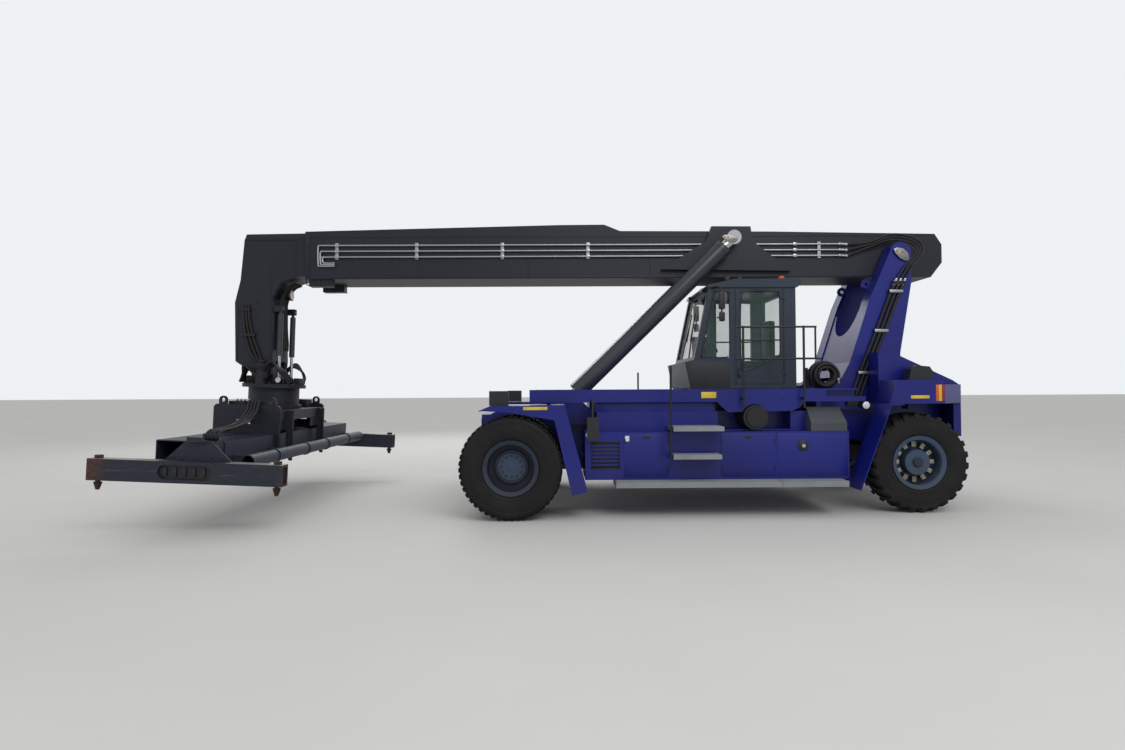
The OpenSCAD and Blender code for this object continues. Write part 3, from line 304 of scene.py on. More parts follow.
BLUE = rgb(17, 26, 112)
NAVY = rgb(24, 28, 40)
FINISHES = {
    "body_blue": sprayed_paint("body_blue", BLUE, 0.36, 0.2, coat=0.08),
    "boom_navy": sprayed_paint("boom_navy", NAVY, 0.48, 0.08, (1.0, 5.5)),
    "chassis_dark": sprayed_paint("chassis_dark", rgb(24, 25, 29), 0.6, 0.5),
    "cab_paint": sprayed_paint("cab_paint", rgb(30, 44, 60), 0.4, 0.25, (1.6, 2.6), coat=0.15),
    "cylinder_paint": sprayed_paint("cylinder_paint", rgb(44, 49, 60), 0.38, 0.15, (0.5, 5.0), coat=0.25),
    "rim_dark": sprayed_paint("rim_dark", rgb(32, 42, 60), 0.5, 0.3),
    "rim_light": sprayed_paint("rim_light", rgb(52, 68, 92), 0.5, 0.35),
    "cover_grey": sprayed_paint("cover_grey", rgb(66, 70, 76), 0.5, 0.35, (0.3, 1.8)),
    "spreader_worn": sprayed_paint("spreader_worn", rgb(34, 41, 58), 0.5, 0.35, (0.2, 1.6), rgb(78, 64, 56),
                                     wear=rgb(96, 94, 94), wear_amount=0.3),
    "rail_black": sprayed_paint("rail_black", rgb(26, 27, 30), 0.45, 0.2, coat=0.1),
    "galvanised": metal("galvanised", rgb(150, 154, 158), 0.5, (30.0, 30.0, 30.0), 0.7),
    "pipe_steel": metal("pipe_steel", rgb(170, 174, 180), 0.3, (1.0, 60.0, 60.0), 0.9, 0.15),
    "chrome_rod": metal("chrome_rod", rgb(196, 198, 202), 0.12, (1.0, 1.0, 1.0), 1.0, 0.05),
    "lock_steel": metal("lock_steel", rgb(66, 50, 44), 0.75, (6.0, 6.0, 6.0), 0.35, 0.6),
    "engine_iron": metal("engine_iron", rgb(48, 48, 52), 0.7, (8.0, 8.0, 8.0), 0.4, 0.6),
    "lamp_plastic": plastic("lamp_plastic", rgb(30, 32, 36), 0.35),
    "mirror_shell": plastic("mirror_shell", rgb(28, 29, 32), 0.5),
    "console_plastic": plastic("console_plastic", rgb(26, 27, 30), 0.55),
    "hose_rubber": rubber("hose_rubber", rgb(22, 22, 25), 0.3, 0.55),
    "tyre_rubber": rubber("tyre_rubber", rgb(17, 17, 20), 0.22),
    "cab_glass": clear_glass("cab_glass", rgb(86, 112, 106)),
    "seat_fabric": woven("seat_fabric", rgb(24, 24, 28)),
}

# Finishes of single pieces, in a slot of their kind

END_BEAM = end_beam_paint("end_beam_paint", rgb(30, 35, 48), AXLE_X + 3.93)
OWN_FINISH = {"spreader_beam_left": END_BEAM, "spreader_beam_right": END_BEAM}
# Light bare steel: real wear on the pin plates and pin caps, and a painted highlight on the end beams' top
# faces
WORN_STEEL_AND_HIGHLIGHT = metal("worn_steel", rgb(150, 146, 142), 0.42, (9.0, 9.0, 9.0), 0.8, 0.7)
CREAM = sprayed_paint("cream_paint", rgb(176, 170, 140), 0.55, 0.5)
NOSE_GREY = sprayed_paint("nose_grey", rgb(44, 46, 48), 0.6, 0.3, (1.6, 2.6))
YELLOW = plastic("yellow_film", rgb(206, 178, 40), 0.45)
ORANGE = plastic("orange_lens", rgb(206, 96, 30), 0.3)
RED = plastic("red_lens", rgb(150, 24, 26), 0.3)
WHITE = plastic("white_film", rgb(206, 208, 210), 0.45)
LENS = plastic("clear_lens", rgb(214, 218, 222), 0.12)

for part in frame["record"]["subparts"]:
    node = frame["nodes"][part["node"]]
    for place in node.material_slots:
        place.material = OWN_FINISH.get(part["node"], FINISHES[part["material_slot"]])


# Floor and sky

FLOOR_SIZE, FLOOR_DROP = 300, 0.002
SKY_LIGHT = (1, 1, 1, 1), 0.75
SKY_SEEN = (0.86, 0.88, 0.9, 1), 1.0


def add_floor():
    begin()
    bpy.ops.mesh.primitive_plane_add(size=FLOOR_SIZE, location=(0, 0, -FLOOR_DROP))
    floor = bpy.context.object
    floor.name = "floor"
    f = Finish("pale_floor", roughness=0.85, specular_ior_level=0.2)
    grey = f.mix(f.noise(0.4, 3), rgb(196, 196, 194), rgb(206, 206, 204))
    floor.data.materials.append(f.feed(base_color=grey))


def add_world():
    """An even sky that lights the model, and a pale one behind it and its glass."""
    world = bpy.data.worlds.new("soft_sky")
    bpy.context.scene.world = world
    world.use_nodes = True
    tree = world.node_tree
    sky = tree.nodes["Background"]
    seen = tree.nodes.new("ShaderNodeBackground")
    for background, (colour, strength) in ((sky, SKY_LIGHT), (seen, SKY_SEEN)):
        background.inputs["Color"].default_value = colour
        background.inputs["Strength"].default_value = strength
    ray = tree.nodes.new("ShaderNodeLightPath")
    shown = tree.nodes.new("ShaderNodeMath")
    shown.operation = "MAXIMUM"
    both = tree.nodes.new("ShaderNodeMixShader")
    for source, sink in ((ray.outputs["Is Camera Ray"], shown.inputs[0]),
                         (ray.outputs["Is Transmission Ray"], shown.inputs[1]),
                         (shown.outputs[0], both.inputs[0]), (sky.outputs[0], both.inputs[1]),
                         (seen.outputs[0], both.inputs[2]),
                         (both.outputs[0], tree.nodes["World Output"].inputs["Surface"])):
        tree.links.new(source, sink)


# Modelling helpers. Places are in millimetres from the drive axle, and each shape starts as a primitive

PIN = (4200, 0, 2180)
HEAD_TILT = -2.5
SIDES = ((1, "left"), (-1, "right"))
MIRROR = Matrix.Scale(-1, 4, (0, 1, 0))


def spot(x, y, z):
    return Vector((AXLE_X + x / 1000, y / 1000, z / 1000))


def shift(x=0, y=0, z=0):
    return Matrix.Translation((x / 1000, y / 1000, z / 1000))


def turned(centre, angle, axis="Y"):
    centre = spot(*centre)
    return Matrix.Translation(centre) @ Matrix.Rotation(angle, 4, axis) @ Matrix.Translation(-centre)


def on_circle(x, z, radius, angle):
    return x + radius * math.cos(angle), z + radius * math.sin(angle)


def begin():
    bpy.ops.object.select_all(action="DESELECT")


def round_edges(piece, width, segments=2):
    bevel = piece.modifiers.new("rounding", "BEVEL")
    bevel.width = width / 1000
    bevel.segments = segments
    bevel.limit_method = "ANGLE"
    bevel.angle_limit = math.radians(40)
    bpy.ops.object.modifier_apply(modifier=bevel.name)


def block(low, high, rounding=4, segments=2):
    """A plate or housing between two corners, with rounded edges."""
    begin()
    low, high = spot(*low), spot(*high)
    bpy.ops.mesh.primitive_cube_add(size=1, location=(low + high) / 2)
    piece = bpy.context.object
    piece.scale = high - low
    bpy.ops.object.transform_apply(location=True, rotation=True, scale=True)
    round_edges(piece, rounding, segments)
    return piece


def slabs(y, depth, rounding, *spans):
    """Thin plates that stand out from a side face at y, each from its span x, z to x, z."""
    return [block((x0, y, z0), (x1, y + depth, z1), rounding) for x0, z0, x1, z1 in spans]


def rod(a, b, radius, sides=24, rounding=2, end=None):
    """A turned bar between two places, or a cone where its end has another radius."""
    begin()
    a, b = spot(*a), spot(*b)
    bpy.ops.mesh.primitive_cone_add(
        vertices=sides, radius1=radius / 1000, radius2=(end or radius) / 1000, depth=(b - a).length,
        location=(a + b) / 2, rotation=(b - a).to_track_quat("Z", "Y").to_euler())
    bpy.ops.object.transform_apply(location=True, rotation=True, scale=True)
    if rounding:
        round_edges(bpy.context.object, rounding)
    return bpy.context.object


def plate(outline, start, end, axis="Y", rounding=3):
    """A plate cut to an outline and extruded along an axis."""
    across = "XYZ".index(axis)
    push = [0.0, 0.0, 0.0]
    push[across] = (end - start) / 1000
    begin()
    bpy.ops.mesh.primitive_circle_add(vertices=len(outline), fill_type="NGON")
    piece = bpy.context.object
    for vertex, corner in zip(piece.data.vertices, outline):
        place = list(corner)
        place.insert(across, start)
        vertex.co = spot(*place)
    bpy.ops.object.mode_set(mode="EDIT")
    bpy.ops.mesh.select_all(action="SELECT")
    bpy.ops.mesh.extrude_region_move(TRANSFORM_OT_translate={"value": push})
    bpy.ops.mesh.select_all(action="SELECT")
    bpy.ops.mesh.normals_make_consistent(inside=False)
    bpy.ops.object.mode_set(mode="OBJECT")
    if rounding:
        round_edges(piece, rounding)
    return piece


def spun(section, x, y, z, steps=96):
    """A ring from a closed section of radius and width, spun about an axle at x, z."""
    begin()
    bpy.ops.mesh.primitive_circle_add(vertices=len(section), fill_type="NOTHING")
    piece = bpy.context.object
    for vertex, (radius, across) in zip(piece.data.vertices, section):
        vertex.co = spot(x, y + across, z + radius)
    bpy.ops.object.mode_set(mode="EDIT")
    bpy.ops.mesh.select_all(action="SELECT")
    bpy.ops.mesh.spin(steps=steps, angle=math.tau, center=spot(x, y, z), axis=(0, 1, 0))
    bpy.ops.mesh.select_all(action="SELECT")
    bpy.ops.mesh.remove_doubles(threshold=0.0001)
    bpy.ops.mesh.normals_make_consistent(inside=False)
    bpy.ops.object.mode_set(mode="OBJECT")
    return piece


def smooth_path(points, steps=6):
    """Places along a smooth curve through the given ones."""
    ends = [points[0], *points, points[-1]]
    path = []
    for a, b, c, d in zip(ends, ends[1:], ends[2:], ends[3:]):
        a, b, c, d = (Vector(p) for p in (a, b, c, d))
        for i in range(steps):
            t = i / steps
            square, cube = 2 * a - 5 * b + 4 * c - d, 3 * b - a - 3 * c + d
            path.append(0.5 * (2 * b + (c - a) * t + square * t ** 2 + cube * t ** 3))
    return path + [Vector(points[-1])]


def path_curve(path, radius):
    begin()
    bpy.ops.curve.primitive_nurbs_path_add(location=(0, 0, 0))
    curve = bpy.context.object
    spline = curve.data.splines[0]
    spline.points.add(len(path) - len(spline.points))
    for point, place in zip(spline.points, path):
        point.co = (*spot(*place), 1)
    spline.use_endpoint_u = True
    spline.order_u = 3
    spline.resolution_u = 2
    curve.data.bevel_depth = radius / 1000
    curve.data.bevel_resolution = 3
    curve.data.use_fill_caps = True
    return curve


def hose(points, radius, steps=6):
    path_curve(smooth_path(points, steps), radius)
    bpy.ops.object.convert(target="MESH")
    return bpy.context.object


def frame_strip(outline, y, radius, corner=34):
    """A rubber strip round a window, with tight round corners."""
    places = [Vector((x, y, z)) for x, z in outline]
    path = []
    for before, here, after in zip([places[-1]] + places, places, places[1:] + places[:1]):
        path += [here + (way - here).normalized() * corner for way in (before, after)]
    path_curve(path + path[:2], radius)
    bpy.ops.object.convert(target="MESH")
    return bpy.context.object


def moved(piece, *moves):
    """Copies of a piece, each with its own mesh."""
    twins = []
    for move in moves:
        twin = piece.copy()
        twin.data = piece.data.copy()
        twin.data.transform(move)
        if move.determinant() < 0:
            twin.data.flip_normals()
        bpy.context.collection.objects.link(twin)
        twins.append(twin)
    return twins


def mirrored(pieces):
    return [moved(piece, MIRROR)[0] for piece in pieces]


def sided(pieces, side):
    """The pieces as built for the left, or mirrored to the right."""
    if side > 0:
        return pieces
    twins = mirrored(pieces)
    for piece in pieces:
        bpy.data.objects.remove(piece)
    return twins


def ring(piece, count, centre, axis="Y", start=0.0):
    """The piece and its copies evenly round an axis."""
    turns = [turned(centre, start + math.tau * i / count, axis) for i in range(1, count)]
    return [piece] + moved(piece, *turns)


def finished(name, pieces, node, slot, finish=None, both=False, tilt=False, smooth=35, bends=None):
    """Joins the pieces to one and gives it its finish.

    It rides on the body that carries the node, or bends between that one and another. both adds its
    mirror image, and tilt turns it with the hanging head.
    """
    pieces = list(pieces) if isinstance(pieces, (list, tuple)) else [pieces]
    if both:
        pieces += mirrored(pieces)
    begin()
    for piece in pieces:
        piece.select_set(True)
    bpy.context.view_layer.objects.active = pieces[0]
    if len(pieces) > 1:
        bpy.ops.object.join()
    piece = pieces[0]
    if tilt:
        piece.data.transform(turned(PIN, math.radians(HEAD_TILT)))
    piece.name = piece.data.name = name
    piece.data.materials.clear()
    piece.data.materials.append(finish or FINISHES[slot])
    bpy.ops.object.shade_smooth_by_angle(angle=math.radians(smooth))
    if bends:
        other, start, end = bends
        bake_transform(piece, BODY_OF[node], BODY_OF[other], start=spot(*start), end=spot(*end))
    else:
        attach(piece, BODY_OF[node])
    return piece


def hex_bolt(x, y, z, size=16, out=1):
    """A hexagon head on a washer, standing out along Y."""
    return [rod((x, y, z), (x, y + out * size * 0.25, z), size * 1.25, 20, 1),
            rod((x, y + out * size * 0.2, z), (x, y + out * size * 0.9, z), size, 6, 1.5)]


def bolts(y, size, places):
    """Bolts on a side face at y, each at its x, z."""
    return [part for x, z in places for part in hex_bolt(x, y, z, size)]


# The stowed hose on its hook, one length wound in layers that run inwards and outwards in turn

COIL_X, COIL_Y, COIL_Z = -4845, 885, 2032
COIL_RADIUS = 222
COIL_PITCH = 51
LAYERS = 4
TURNS = 2
STEPS = 48
LAST_STEPS = 37
CLIMB_STEPS = 6
COIL_HOSE = 50


def coil_path():
    path = [Vector((COIL_X + COIL_RADIUS, COIL_Y, z)) for z in (1835, 1880, 1925, 1970, 2005)]
    for layer in range(LAYERS):
        last = layer == LAYERS - 1
        for i in range(LAST_STEPS if last else STEPS):
            part = i / STEPS
            inward = part if layer % 2 == 0 else 1 - part
            radius = COIL_RADIUS - TURNS * COIL_PITCH * inward
            climb = 0 if last else max(0, i - STEPS + CLIMB_STEPS) / CLIMB_STEPS
            x, z = on_circle(COIL_X, COIL_Z, radius, math.tau * TURNS * part)
            path.append(Vector((x, COIL_Y + COIL_PITCH * (layer + climb), z)))
    end = path[-1]
    return path + [end + Vector((0, 0, -drop)) for drop in (25, 50)]


def add_coil():
    path = coil_path()
    curve = path_curve(path, COIL_HOSE / 2)
    curve.name = curve.data.name = "stowed_hose"
    curve.data.materials.append(FINISHES["hose_rubber"])
    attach(curve, BODY_OF["hose_coil"])
    end = path[-1]
    top, seam, lip, mouth = (end + Vector((0, 0, z)) for z in (12, -30, -34, -84))
    spout = [rod(top, lip, 30, 6, 2), rod(seam, mouth, 24, 20, 2, 15)]
    nozzle = finished("hose_nozzle", spout, "hose_coil", "pipe_steel")
    spot(*path[0])
    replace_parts(curve, "hose_coil")


# Wheels. Sections are given as radius and width from the middle of the tyre or rim

REAR_AXLE = -5985
WHEEL_Z = 735
TWINS_Y = (1825, 1215)
REAR_WHEEL_Y = 1400
FRONT_CROWN, REAR_CROWN = 724, 700
SLICKS, SLICK_HALF, SLICK_DEPTH, SLICK_STEP = 48, 48, 16, 0.03
LUGS, LUG_HALF, LUG_SLANT = 26, 38, 0.42
RIM_BOLTS, NUT_CIRCLE, HUB_FACE = 12, 150, 1805
SIDEWALL = [(396, 178), (402, 206), (424, 224), (446, 230), (450, 235), (458, 235), (462, 232),
            (520, 243), (588, 249), (596, 246), (640, 247), (644, 249.5), (654, 249.5), (658, 246)]
LUG = [(18, 690), (18, 734), (120, 733), (196, 728), (232, 714), (249, 690), (249, 634), (238, 628),
       (226, 640), (204, 680)]
FRONT_FLANGE = [(338, 0), (338, 22), (352, 30), (386, 30), (394, 20), (394, -6), (380, -6), (360, 6)]
REAR_FLANGE = [(330, 0), (330, 18), (352, 30), (386, 30), (394, 20), (394, -6), (370, -6)]


def tyre_body(x, y, crown):
    shoulder = [(crown - 38, 240), (crown - 18, 226), (crown - 6, 196), (crown - 2, 120), (crown, 40)]
    half = SIDEWALL + shoulder
    return spun(half + [(r, -w) for r, w in reversed(half)], x, y, WHEEL_Z, 72)


def wrap_round(piece, x):
    """Drops the corners of a tread block so that its top follows the wheel's circle."""
    for vertex in piece.data.vertices:
        height = vertex.co.z - WHEEL_Z / 1000
        ahead = vertex.co.x - AXLE_X - x / 1000
        vertex.co.z = WHEEL_Z / 1000 + math.sqrt(max(0, height ** 2 - ahead ** 2))


def slick_blocks(x, y):
    """Shallow tread blocks in four rows."""
    rows = []
    for across, length, top in ((-196, 62, 730), (-68, 74, 733), (68, 74, 733), (196, 62, 730)):
        low = (x - length / 2, y + across - SLICK_HALF, WHEEL_Z + top - SLICK_DEPTH)
        pad = block(low, (x + length / 2, y + across + SLICK_HALF, WHEEL_Z + top), 5, 1)
        wrap_round(pad, x)
        rows += ring(pad, SLICKS, (x, y, WHEEL_Z), start=SLICK_STEP * (across > 0))
    return rows


def lugs(x, y):
    """Deep slanted lugs that reach over the shoulders, each side half a step from the other."""
    pieces = []
    centre = (x, y, WHEEL_Z)
    for side in (1, -1):
        outline = [(y + side * u, WHEEL_Z + v) for u, v in LUG]
        lug = plate(outline, x - LUG_HALF, x + LUG_HALF, "X", 6)
        for vertex in lug.data.vertices:
            vertex.co.x += (abs(vertex.co.y - y / 1000) - 0.13) * LUG_SLANT
        wrap_round(lug, x)
        if side > 0:
            pieces += ring(lug, LUGS, centre)
        else:
            pieces += moved(lug, *[turned(centre, math.tau * (i + 0.5) / LUGS) for i in range(LUGS)])
            bpy.data.objects.remove(lug)
    return pieces


def add_tyres(side, word):
    pieces = []
    for y in TWINS_Y:
        pieces += [tyre_body(0, side * y, FRONT_CROWN)] + slick_blocks(0, side * y)
    node = "front_tyres_" + word
    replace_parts(finished("front_tread_" + word, pieces, node, "tyre_rubber", smooth=30), node)
    y = side * REAR_WHEEL_Y
    pieces = [tyre_body(REAR_AXLE, y, REAR_CROWN)] + lugs(REAR_AXLE, y)
    node = "rear_tyre_" + word
    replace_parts(finished("rear_tread_" + word, pieces, node, "tyre_rubber", smooth=30), node)


def add_front_rim(side, word):
    node = "front_rims_" + word
    face = side * HUB_FACE
    flange = spun(FRONT_FLANGE, 0, side * 1980, WHEEL_Z, 72)
    cap = [(0.5, 0), (0.5, side * 14), (60, side * 14), (66, side * 9), (196, side * 9), (206, 0)]
    finished("front_rim_flange_" + word, [flange, spun(cap, 0, face, WHEEL_Z, 48)], node, "rim_light")
    nuts = []
    for i in range(RIM_BOLTS):
        x, z = on_circle(0, WHEEL_Z, NUT_CIRCLE, math.tau * i / RIM_BOLTS)
        nuts += hex_bolt(x, face + side * 8, z, 13, side)
    valve = rod((330, side * 1930, WHEEL_Z + 30), (330, side * 1990, WHEEL_Z + 30), 8, 10, 1)
    finished("front_hub_bolts_" + word, nuts + [valve], node, "rim_dark")


def add_rear_rim(side, word):
    node = "rear_rim_" + word
    pads = []
    for i in range(RIM_BOLTS):
        pad = block((REAR_AXLE + 222, side * 1439, WHEEL_Z - 31),
                    (REAR_AXLE + 303, side * 1447, WHEEL_Z + 31), 5)
        for piece in [pad] + hex_bolt(REAR_AXLE + 262, side * 1446, WHEEL_Z, 11, side):
            piece.data.transform(turned((REAR_AXLE, 0, WHEEL_Z), math.tau * i / RIM_BOLTS))
            pads.append(piece)
    finished("clamp_pads_" + word, pads, node, "rim_light", CREAM)
    hub = [(0.5, 0), (0.5, side * 40), (56, side * 38), (70, side * 26), (74, 0)]
    finished("rear_hub_" + word, spun(hub, REAR_AXLE, side * 1545, WHEEL_Z, 32), node, "rim_dark")
    flange = spun(REAR_FLANGE, REAR_AXLE, side * 1555, WHEEL_Z, 72)
    finished("rear_rim_flange_" + word, flange, node, "rim_light")


def add_wheels():
    for side, word in SIDES:
        add_tyres(side, word)
        add_front_rim(side, word)
        add_rear_rim(side, word)


# Cab

CAB_Y = 849
GASKET_Y = 852
ROOF_LAMPS_Y = (-520, 520)
DOOR_PANE = [(-3566, 3385), (-4200, 3385), (-4200, 2347), (-3650, 2100), (-3566, 2125)]
SIDE_PANE = [(-3400, 3385), (-3400, 2330), (-2930, 2330), (-3148, 3385)]
NOSE_PANEL = [(-2700, 2246), (-2772, 1862), (-3392, 1862), (-3392, 2150), (-3330, 2262), (-2822, 2284)]
WORK_LAMP = [(0.5, -34), (30, -34), (42, -20), (42, 26), (36, 32), (0.5, 32)]


def add_cab_panels():
    door = [frame_strip(DOOR_PANE, GASKET_Y, 9), block((-4195, 846, 2592), (-3570, 858, 2616), 3),
            block((-3560, 850, 2010), (-3520, 862, 2090), 5),
            hose([(-3530, 862, 2020), (-3530, 884, 2040), (-3530, 884, 2140), (-3530, 862, 2160)], 7)]
    finished("door_gasket", door, "cab_door", "mirror_shell")
    finished("side_gaskets", frame_strip(SIDE_PANE, GASKET_Y, 9), "cab_shell", "mirror_shell", both=True)
    nose = plate(NOSE_PANEL, CAB_Y, CAB_Y + 9, rounding=4)
    finished("cab_nose_panel", nose, "cab_shell", "cover_grey", NOSE_GREY, both=True)
    seams = slabs(CAB_Y, 4, 1, (-3474, 1870, -3468, 3430), (-4266, 1900, -4260, 3420))
    seams.append(block((-4440, 790, 1834), (-2775, 847, 1847), 3))
    finished("cab_seams", seams, "cab_shell", "mirror_shell", both=True)


def add_wipers():
    wipers = []
    for y in (-330, 330):
        wipers += [rod((-2846, y, 2330), (-2955, y * 0.55, 2900), 9, 10, 1),
                   rod((-2842, y * 0.9, 2330), (-2951, y * 0.45, 2900), 6, 10, 1),
                   rod((-2905, y * 0.5, 2640), (-3000, y * 0.5, 3120), 11, 6, 1),
                   rod((-2836, y, 2330), (-2866, y, 2330), 26, 16, 3)]
    finished("wipers", wipers, "cab_shell", "mirror_shell")


def add_cab_mirrors():
    mirrors = [hose([(-3120, 840, 3430), (-3160, 930, 3440), (-3230, 985, 3380), (-3240, 990, 2920)], 13),
               hose([(-3200, 850, 2960), (-3230, 930, 2960), (-3240, 990, 2980)], 11),
               block((-3290, 965, 3080), (-3190, 1015, 3370), 22, 3),
               block((-3286, 968, 2890), (-3196, 1012, 3040), 22, 3)]
    finished("cab_mirrors", mirrors, "cab_shell", "mirror_shell", both=True)
    glasses = [block((-3293, 972, 3096), (-3289, 1008, 3354), 2),
               block((-3289, 974, 2904), (-3285, 1006, 3026), 2)]
    finished("cab_mirror_glasses", glasses, "cab_shell", "chrome_rod", both=True)


def add_roof():
    lamps = []
    for x, y in ((-3420, 620), (-3640, 560)):
        lamps += [rod((x, y, 3560), (x, y, 3600), 14, 12, 1), spun(WORK_LAMP, x, y, 3625, 24)]
    lamps += [block((-3052, y - 70, 3400), (-3010, y + 70, 3470), 12) for y in ROOF_LAMPS_Y]
    finished("roof_lamps", lamps, "cab_roof", "lamp_plastic")
    lenses = [block((-3012, y - 60, 3408), (-3004, y + 60, 3462), 4) for y in ROOF_LAMPS_Y]
    finished("roof_lamp_lenses", lenses, "cab_roof", "lamp_plastic", LENS)
    beacon = [rod((-4300, 620, 3575), (-4300, 620, 3592), 58, 24, 3),
              rod((-4300, 620, 3590), (-4300, 620, 3652), 48, 24, 10)]
    finished("beacon", beacon, "cab_roof", "lamp_plastic", ORANGE)
    ribs = [block((-4440, y, 3572), (-3520, y + 22, 3586), 4) for y in (-700, -350, 0, 350, 680)]
    finished("roof_ribs", ribs, "cab_roof", "cab_paint")


def cushion(low, high, crown):
    """A stuffed pad: its faces bulge and its sides pull in between the corners."""
    begin()
    low, high = spot(*low), spot(*high)
    middle, half = (low + high) / 2, (high - low) / 2
    bpy.ops.mesh.primitive_cube_add(size=2, location=(0, 0, 0))
    piece = bpy.context.object
    bpy.ops.object.mode_set(mode="EDIT")
    bpy.ops.mesh.select_all(action="SELECT")
    bpy.ops.mesh.subdivide(number_cuts=9, smoothness=0)
    bpy.ops.object.mode_set(mode="OBJECT")
    for vertex in piece.data.vertices:
        c = vertex.co.copy()
        for i in range(3):
            j, k = (i + 1) % 3, (i + 2) % 3
            if abs(c[i]) > 0.999:
                swell = (1 - c[j] ** 2) * (1 - c[k] ** 2)
                vertex.co[i] = c[i] * (1 - crown[i] / half[i] / 1000 * (1 - swell))
        vertex.co = Vector((middle[i] + vertex.co[i] * half[i] * 0.98 for i in range(3)))
    smooth = piece.modifiers.new("swell", "SUBSURF")
    smooth.levels = smooth.render_levels = 1
    bpy.ops.object.modifier_apply(modifier=smooth.name)
    return piece


def add_seat():
    base = cushion((-4230, -260, 2185), (-3700, 260, 2315), (26, 26, 30))
    back = cushion((-4330, -250, 2314), (-4200, 250, 2995), (26, 26, 30))
    stand = [block((-4150, -180, 1886), (-3800, 180, 1960), 12),
             block((-4080, -130, 1955), (-3870, 130, 2120), 18, 3),
             block((-4180, -220, 2110), (-3760, 220, 2186), 14)]
    finished("seat_stand", stand, "seat", "console_plastic")
    pads = finished("seat_pads", [base, back], "seat", "seat_fabric", smooth=60)
    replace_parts(pads, "seat")


# Chassis

TANK_Y = 1719
DOOR_Y = 1726
DECK_Y = 1549
REAR_BOX_Y = 1659
POST_HOSE_Y = 811
TANK_CAP = (-4226, 1006)
GRILLE_X, GRILLE_Z = (-1568, -1144), (682, 1078)
MARKER_Z = (1640, 1880)
STEP_SPANS = ((-4770, -3850, 523.5), (-3825, -1495, 523.5), (-3010, -2310, 1299.5), (-2972, -2310, 904.5))
TOOTH_PITCH = 34


def add_tanks():
    spans = [(x0, 560, x1, 1190) for x0, x1 in ((-2280, -1620), (-3830, -3030), (-4880, -3850))]
    doors = slabs(TANK_Y, 8, 6, *spans)
    finished("tank_doors", doors, "side_tanks", "body_blue", both=True)
    skirts = [block((-3016, 1434, 1494), (-1252, 1448, 1650), 5),
              block((-1290, 1150, 1494), (-1252, 1434, 1650), 5)]
    finished("deck_skirts", skirts, "deck", "body_blue", both=True)
    hardware = [rod((x, 1729, z - 34), (x, 1729, z + 34), 8, 12, 2)
                for x in (-2265, -1640, -3045, -3815) for z in (680, 1080)]
    for x in (-1950, -3430):
        hardware += [block((x - 45, DOOR_Y, 1120), (x + 45, 1733, 1160), 5),
                     block((x - 20, 1732, 1130), (x + 30, 1742, 1150), 4)]
    x, z = TANK_CAP
    collar = [(0.5, 0), (0.5, 30), (30, 32), (34, 24), (60, 24), (78, 14), (80, 0)]
    hardware.append(spun(collar, x, DOOR_Y, z, 40))
    finished("tank_hardware", hardware, "side_tanks", "mirror_shell", both=True)
    cap = spun([(0.5, 0), (0.5, 6), (26, 6), (30, 0)], x, 1757, z, 28)
    finished("fuel_cap", cap, "side_tanks", "chrome_rod", both=True)


def add_grilles():
    (x0, x1), (z0, z1) = GRILLE_X, GRILLE_Z
    bars = slabs(1716, 12, 4, (x0, z0, x1, z0 + 18), (x0, z1 - 18, x1, z1),
                 (x0, z0 + 2, x0 + 18, z1 - 2), (x1 - 18, z0 + 2, x1, z1 - 2))
    finished("grille_frames", bars, "side_tanks", "chassis_dark", both=True)
    back = block((-1551, 1694, 700), (-1161, 1700, 1062), 2)
    finished("grille_dark", back, "side_tanks", "mirror_shell", both=True)


def add_steps():
    heads = bolts(DECK_Y, 11, [(x, 1690) for x in range(-4500, -1000, 500)])
    heads += bolts(TANK_Y, 10, [(-1010 - (1100 - z) * 0.02, z) for z in (700, 900, 1100)])
    finished("deck_bolts", heads, "deck", "rail_black", both=True)
    tooth = block((-3010, 1996, 1298), (-2990, 2000, 1306), 1, 1)
    upper = moved(tooth, *[shift(TOOTH_PITCH * i) for i in range(1, 21)])
    lower = moved(tooth, *[shift(TOOTH_PITCH * i + 36, 0, -395) for i in range(20)])
    finished("step_teeth", [tooth] + upper + lower, "steps", "galvanised", both=True)
    grips = [block((x0, y, z), (x1, y + 12, z + 4), 1.5, 1)
             for x0, x1, z in STEP_SPANS for y in range(1745, 1990, 30)]
    finished("step_grips", grips, "steps", "galvanised", both=True)


def add_markers():
    vents = [block((-4850, 1695, 1238 + i * 24), (-4390, 1703, 1248 + i * 24), 2) for i in range(4)]
    finished("battery_vents", vents, "battery_boxes", "cover_grey", both=True)
    low, high = MARKER_Z
    for name, finish, span in (("yellow_strip", YELLOW, (-6117, 1679, -5846, 1725)),
                               ("marker_orange", ORANGE, (-6256, low, -6215, high)),
                               ("marker_yellow", YELLOW, (-6300, low, -6257, high)),
                               ("marker_red", RED, (-6340, low, -6301, high))):
        finished(name, slabs(REAR_BOX_Y, 4, 1, span), "counterweight", "lamp_plastic", finish, both=True)
    labels = slabs(DECK_Y, 3, 1, (-3010, 1700, -2790, 1790)) + slabs(2069, 3, 1, (-520, 1552, -180, 1596))
    finished("yellow_labels", labels, "deck", "lamp_plastic", YELLOW, both=True)
    labels = slabs(DOOR_Y, 3, 1, (-1700, 1080, -1640, 1160)) + slabs(TANK_Y, 3, 1, (-1120, 1150, -1070, 1200))
    finished("white_labels", labels, "side_tanks", "lamp_plastic", WHITE, both=True)


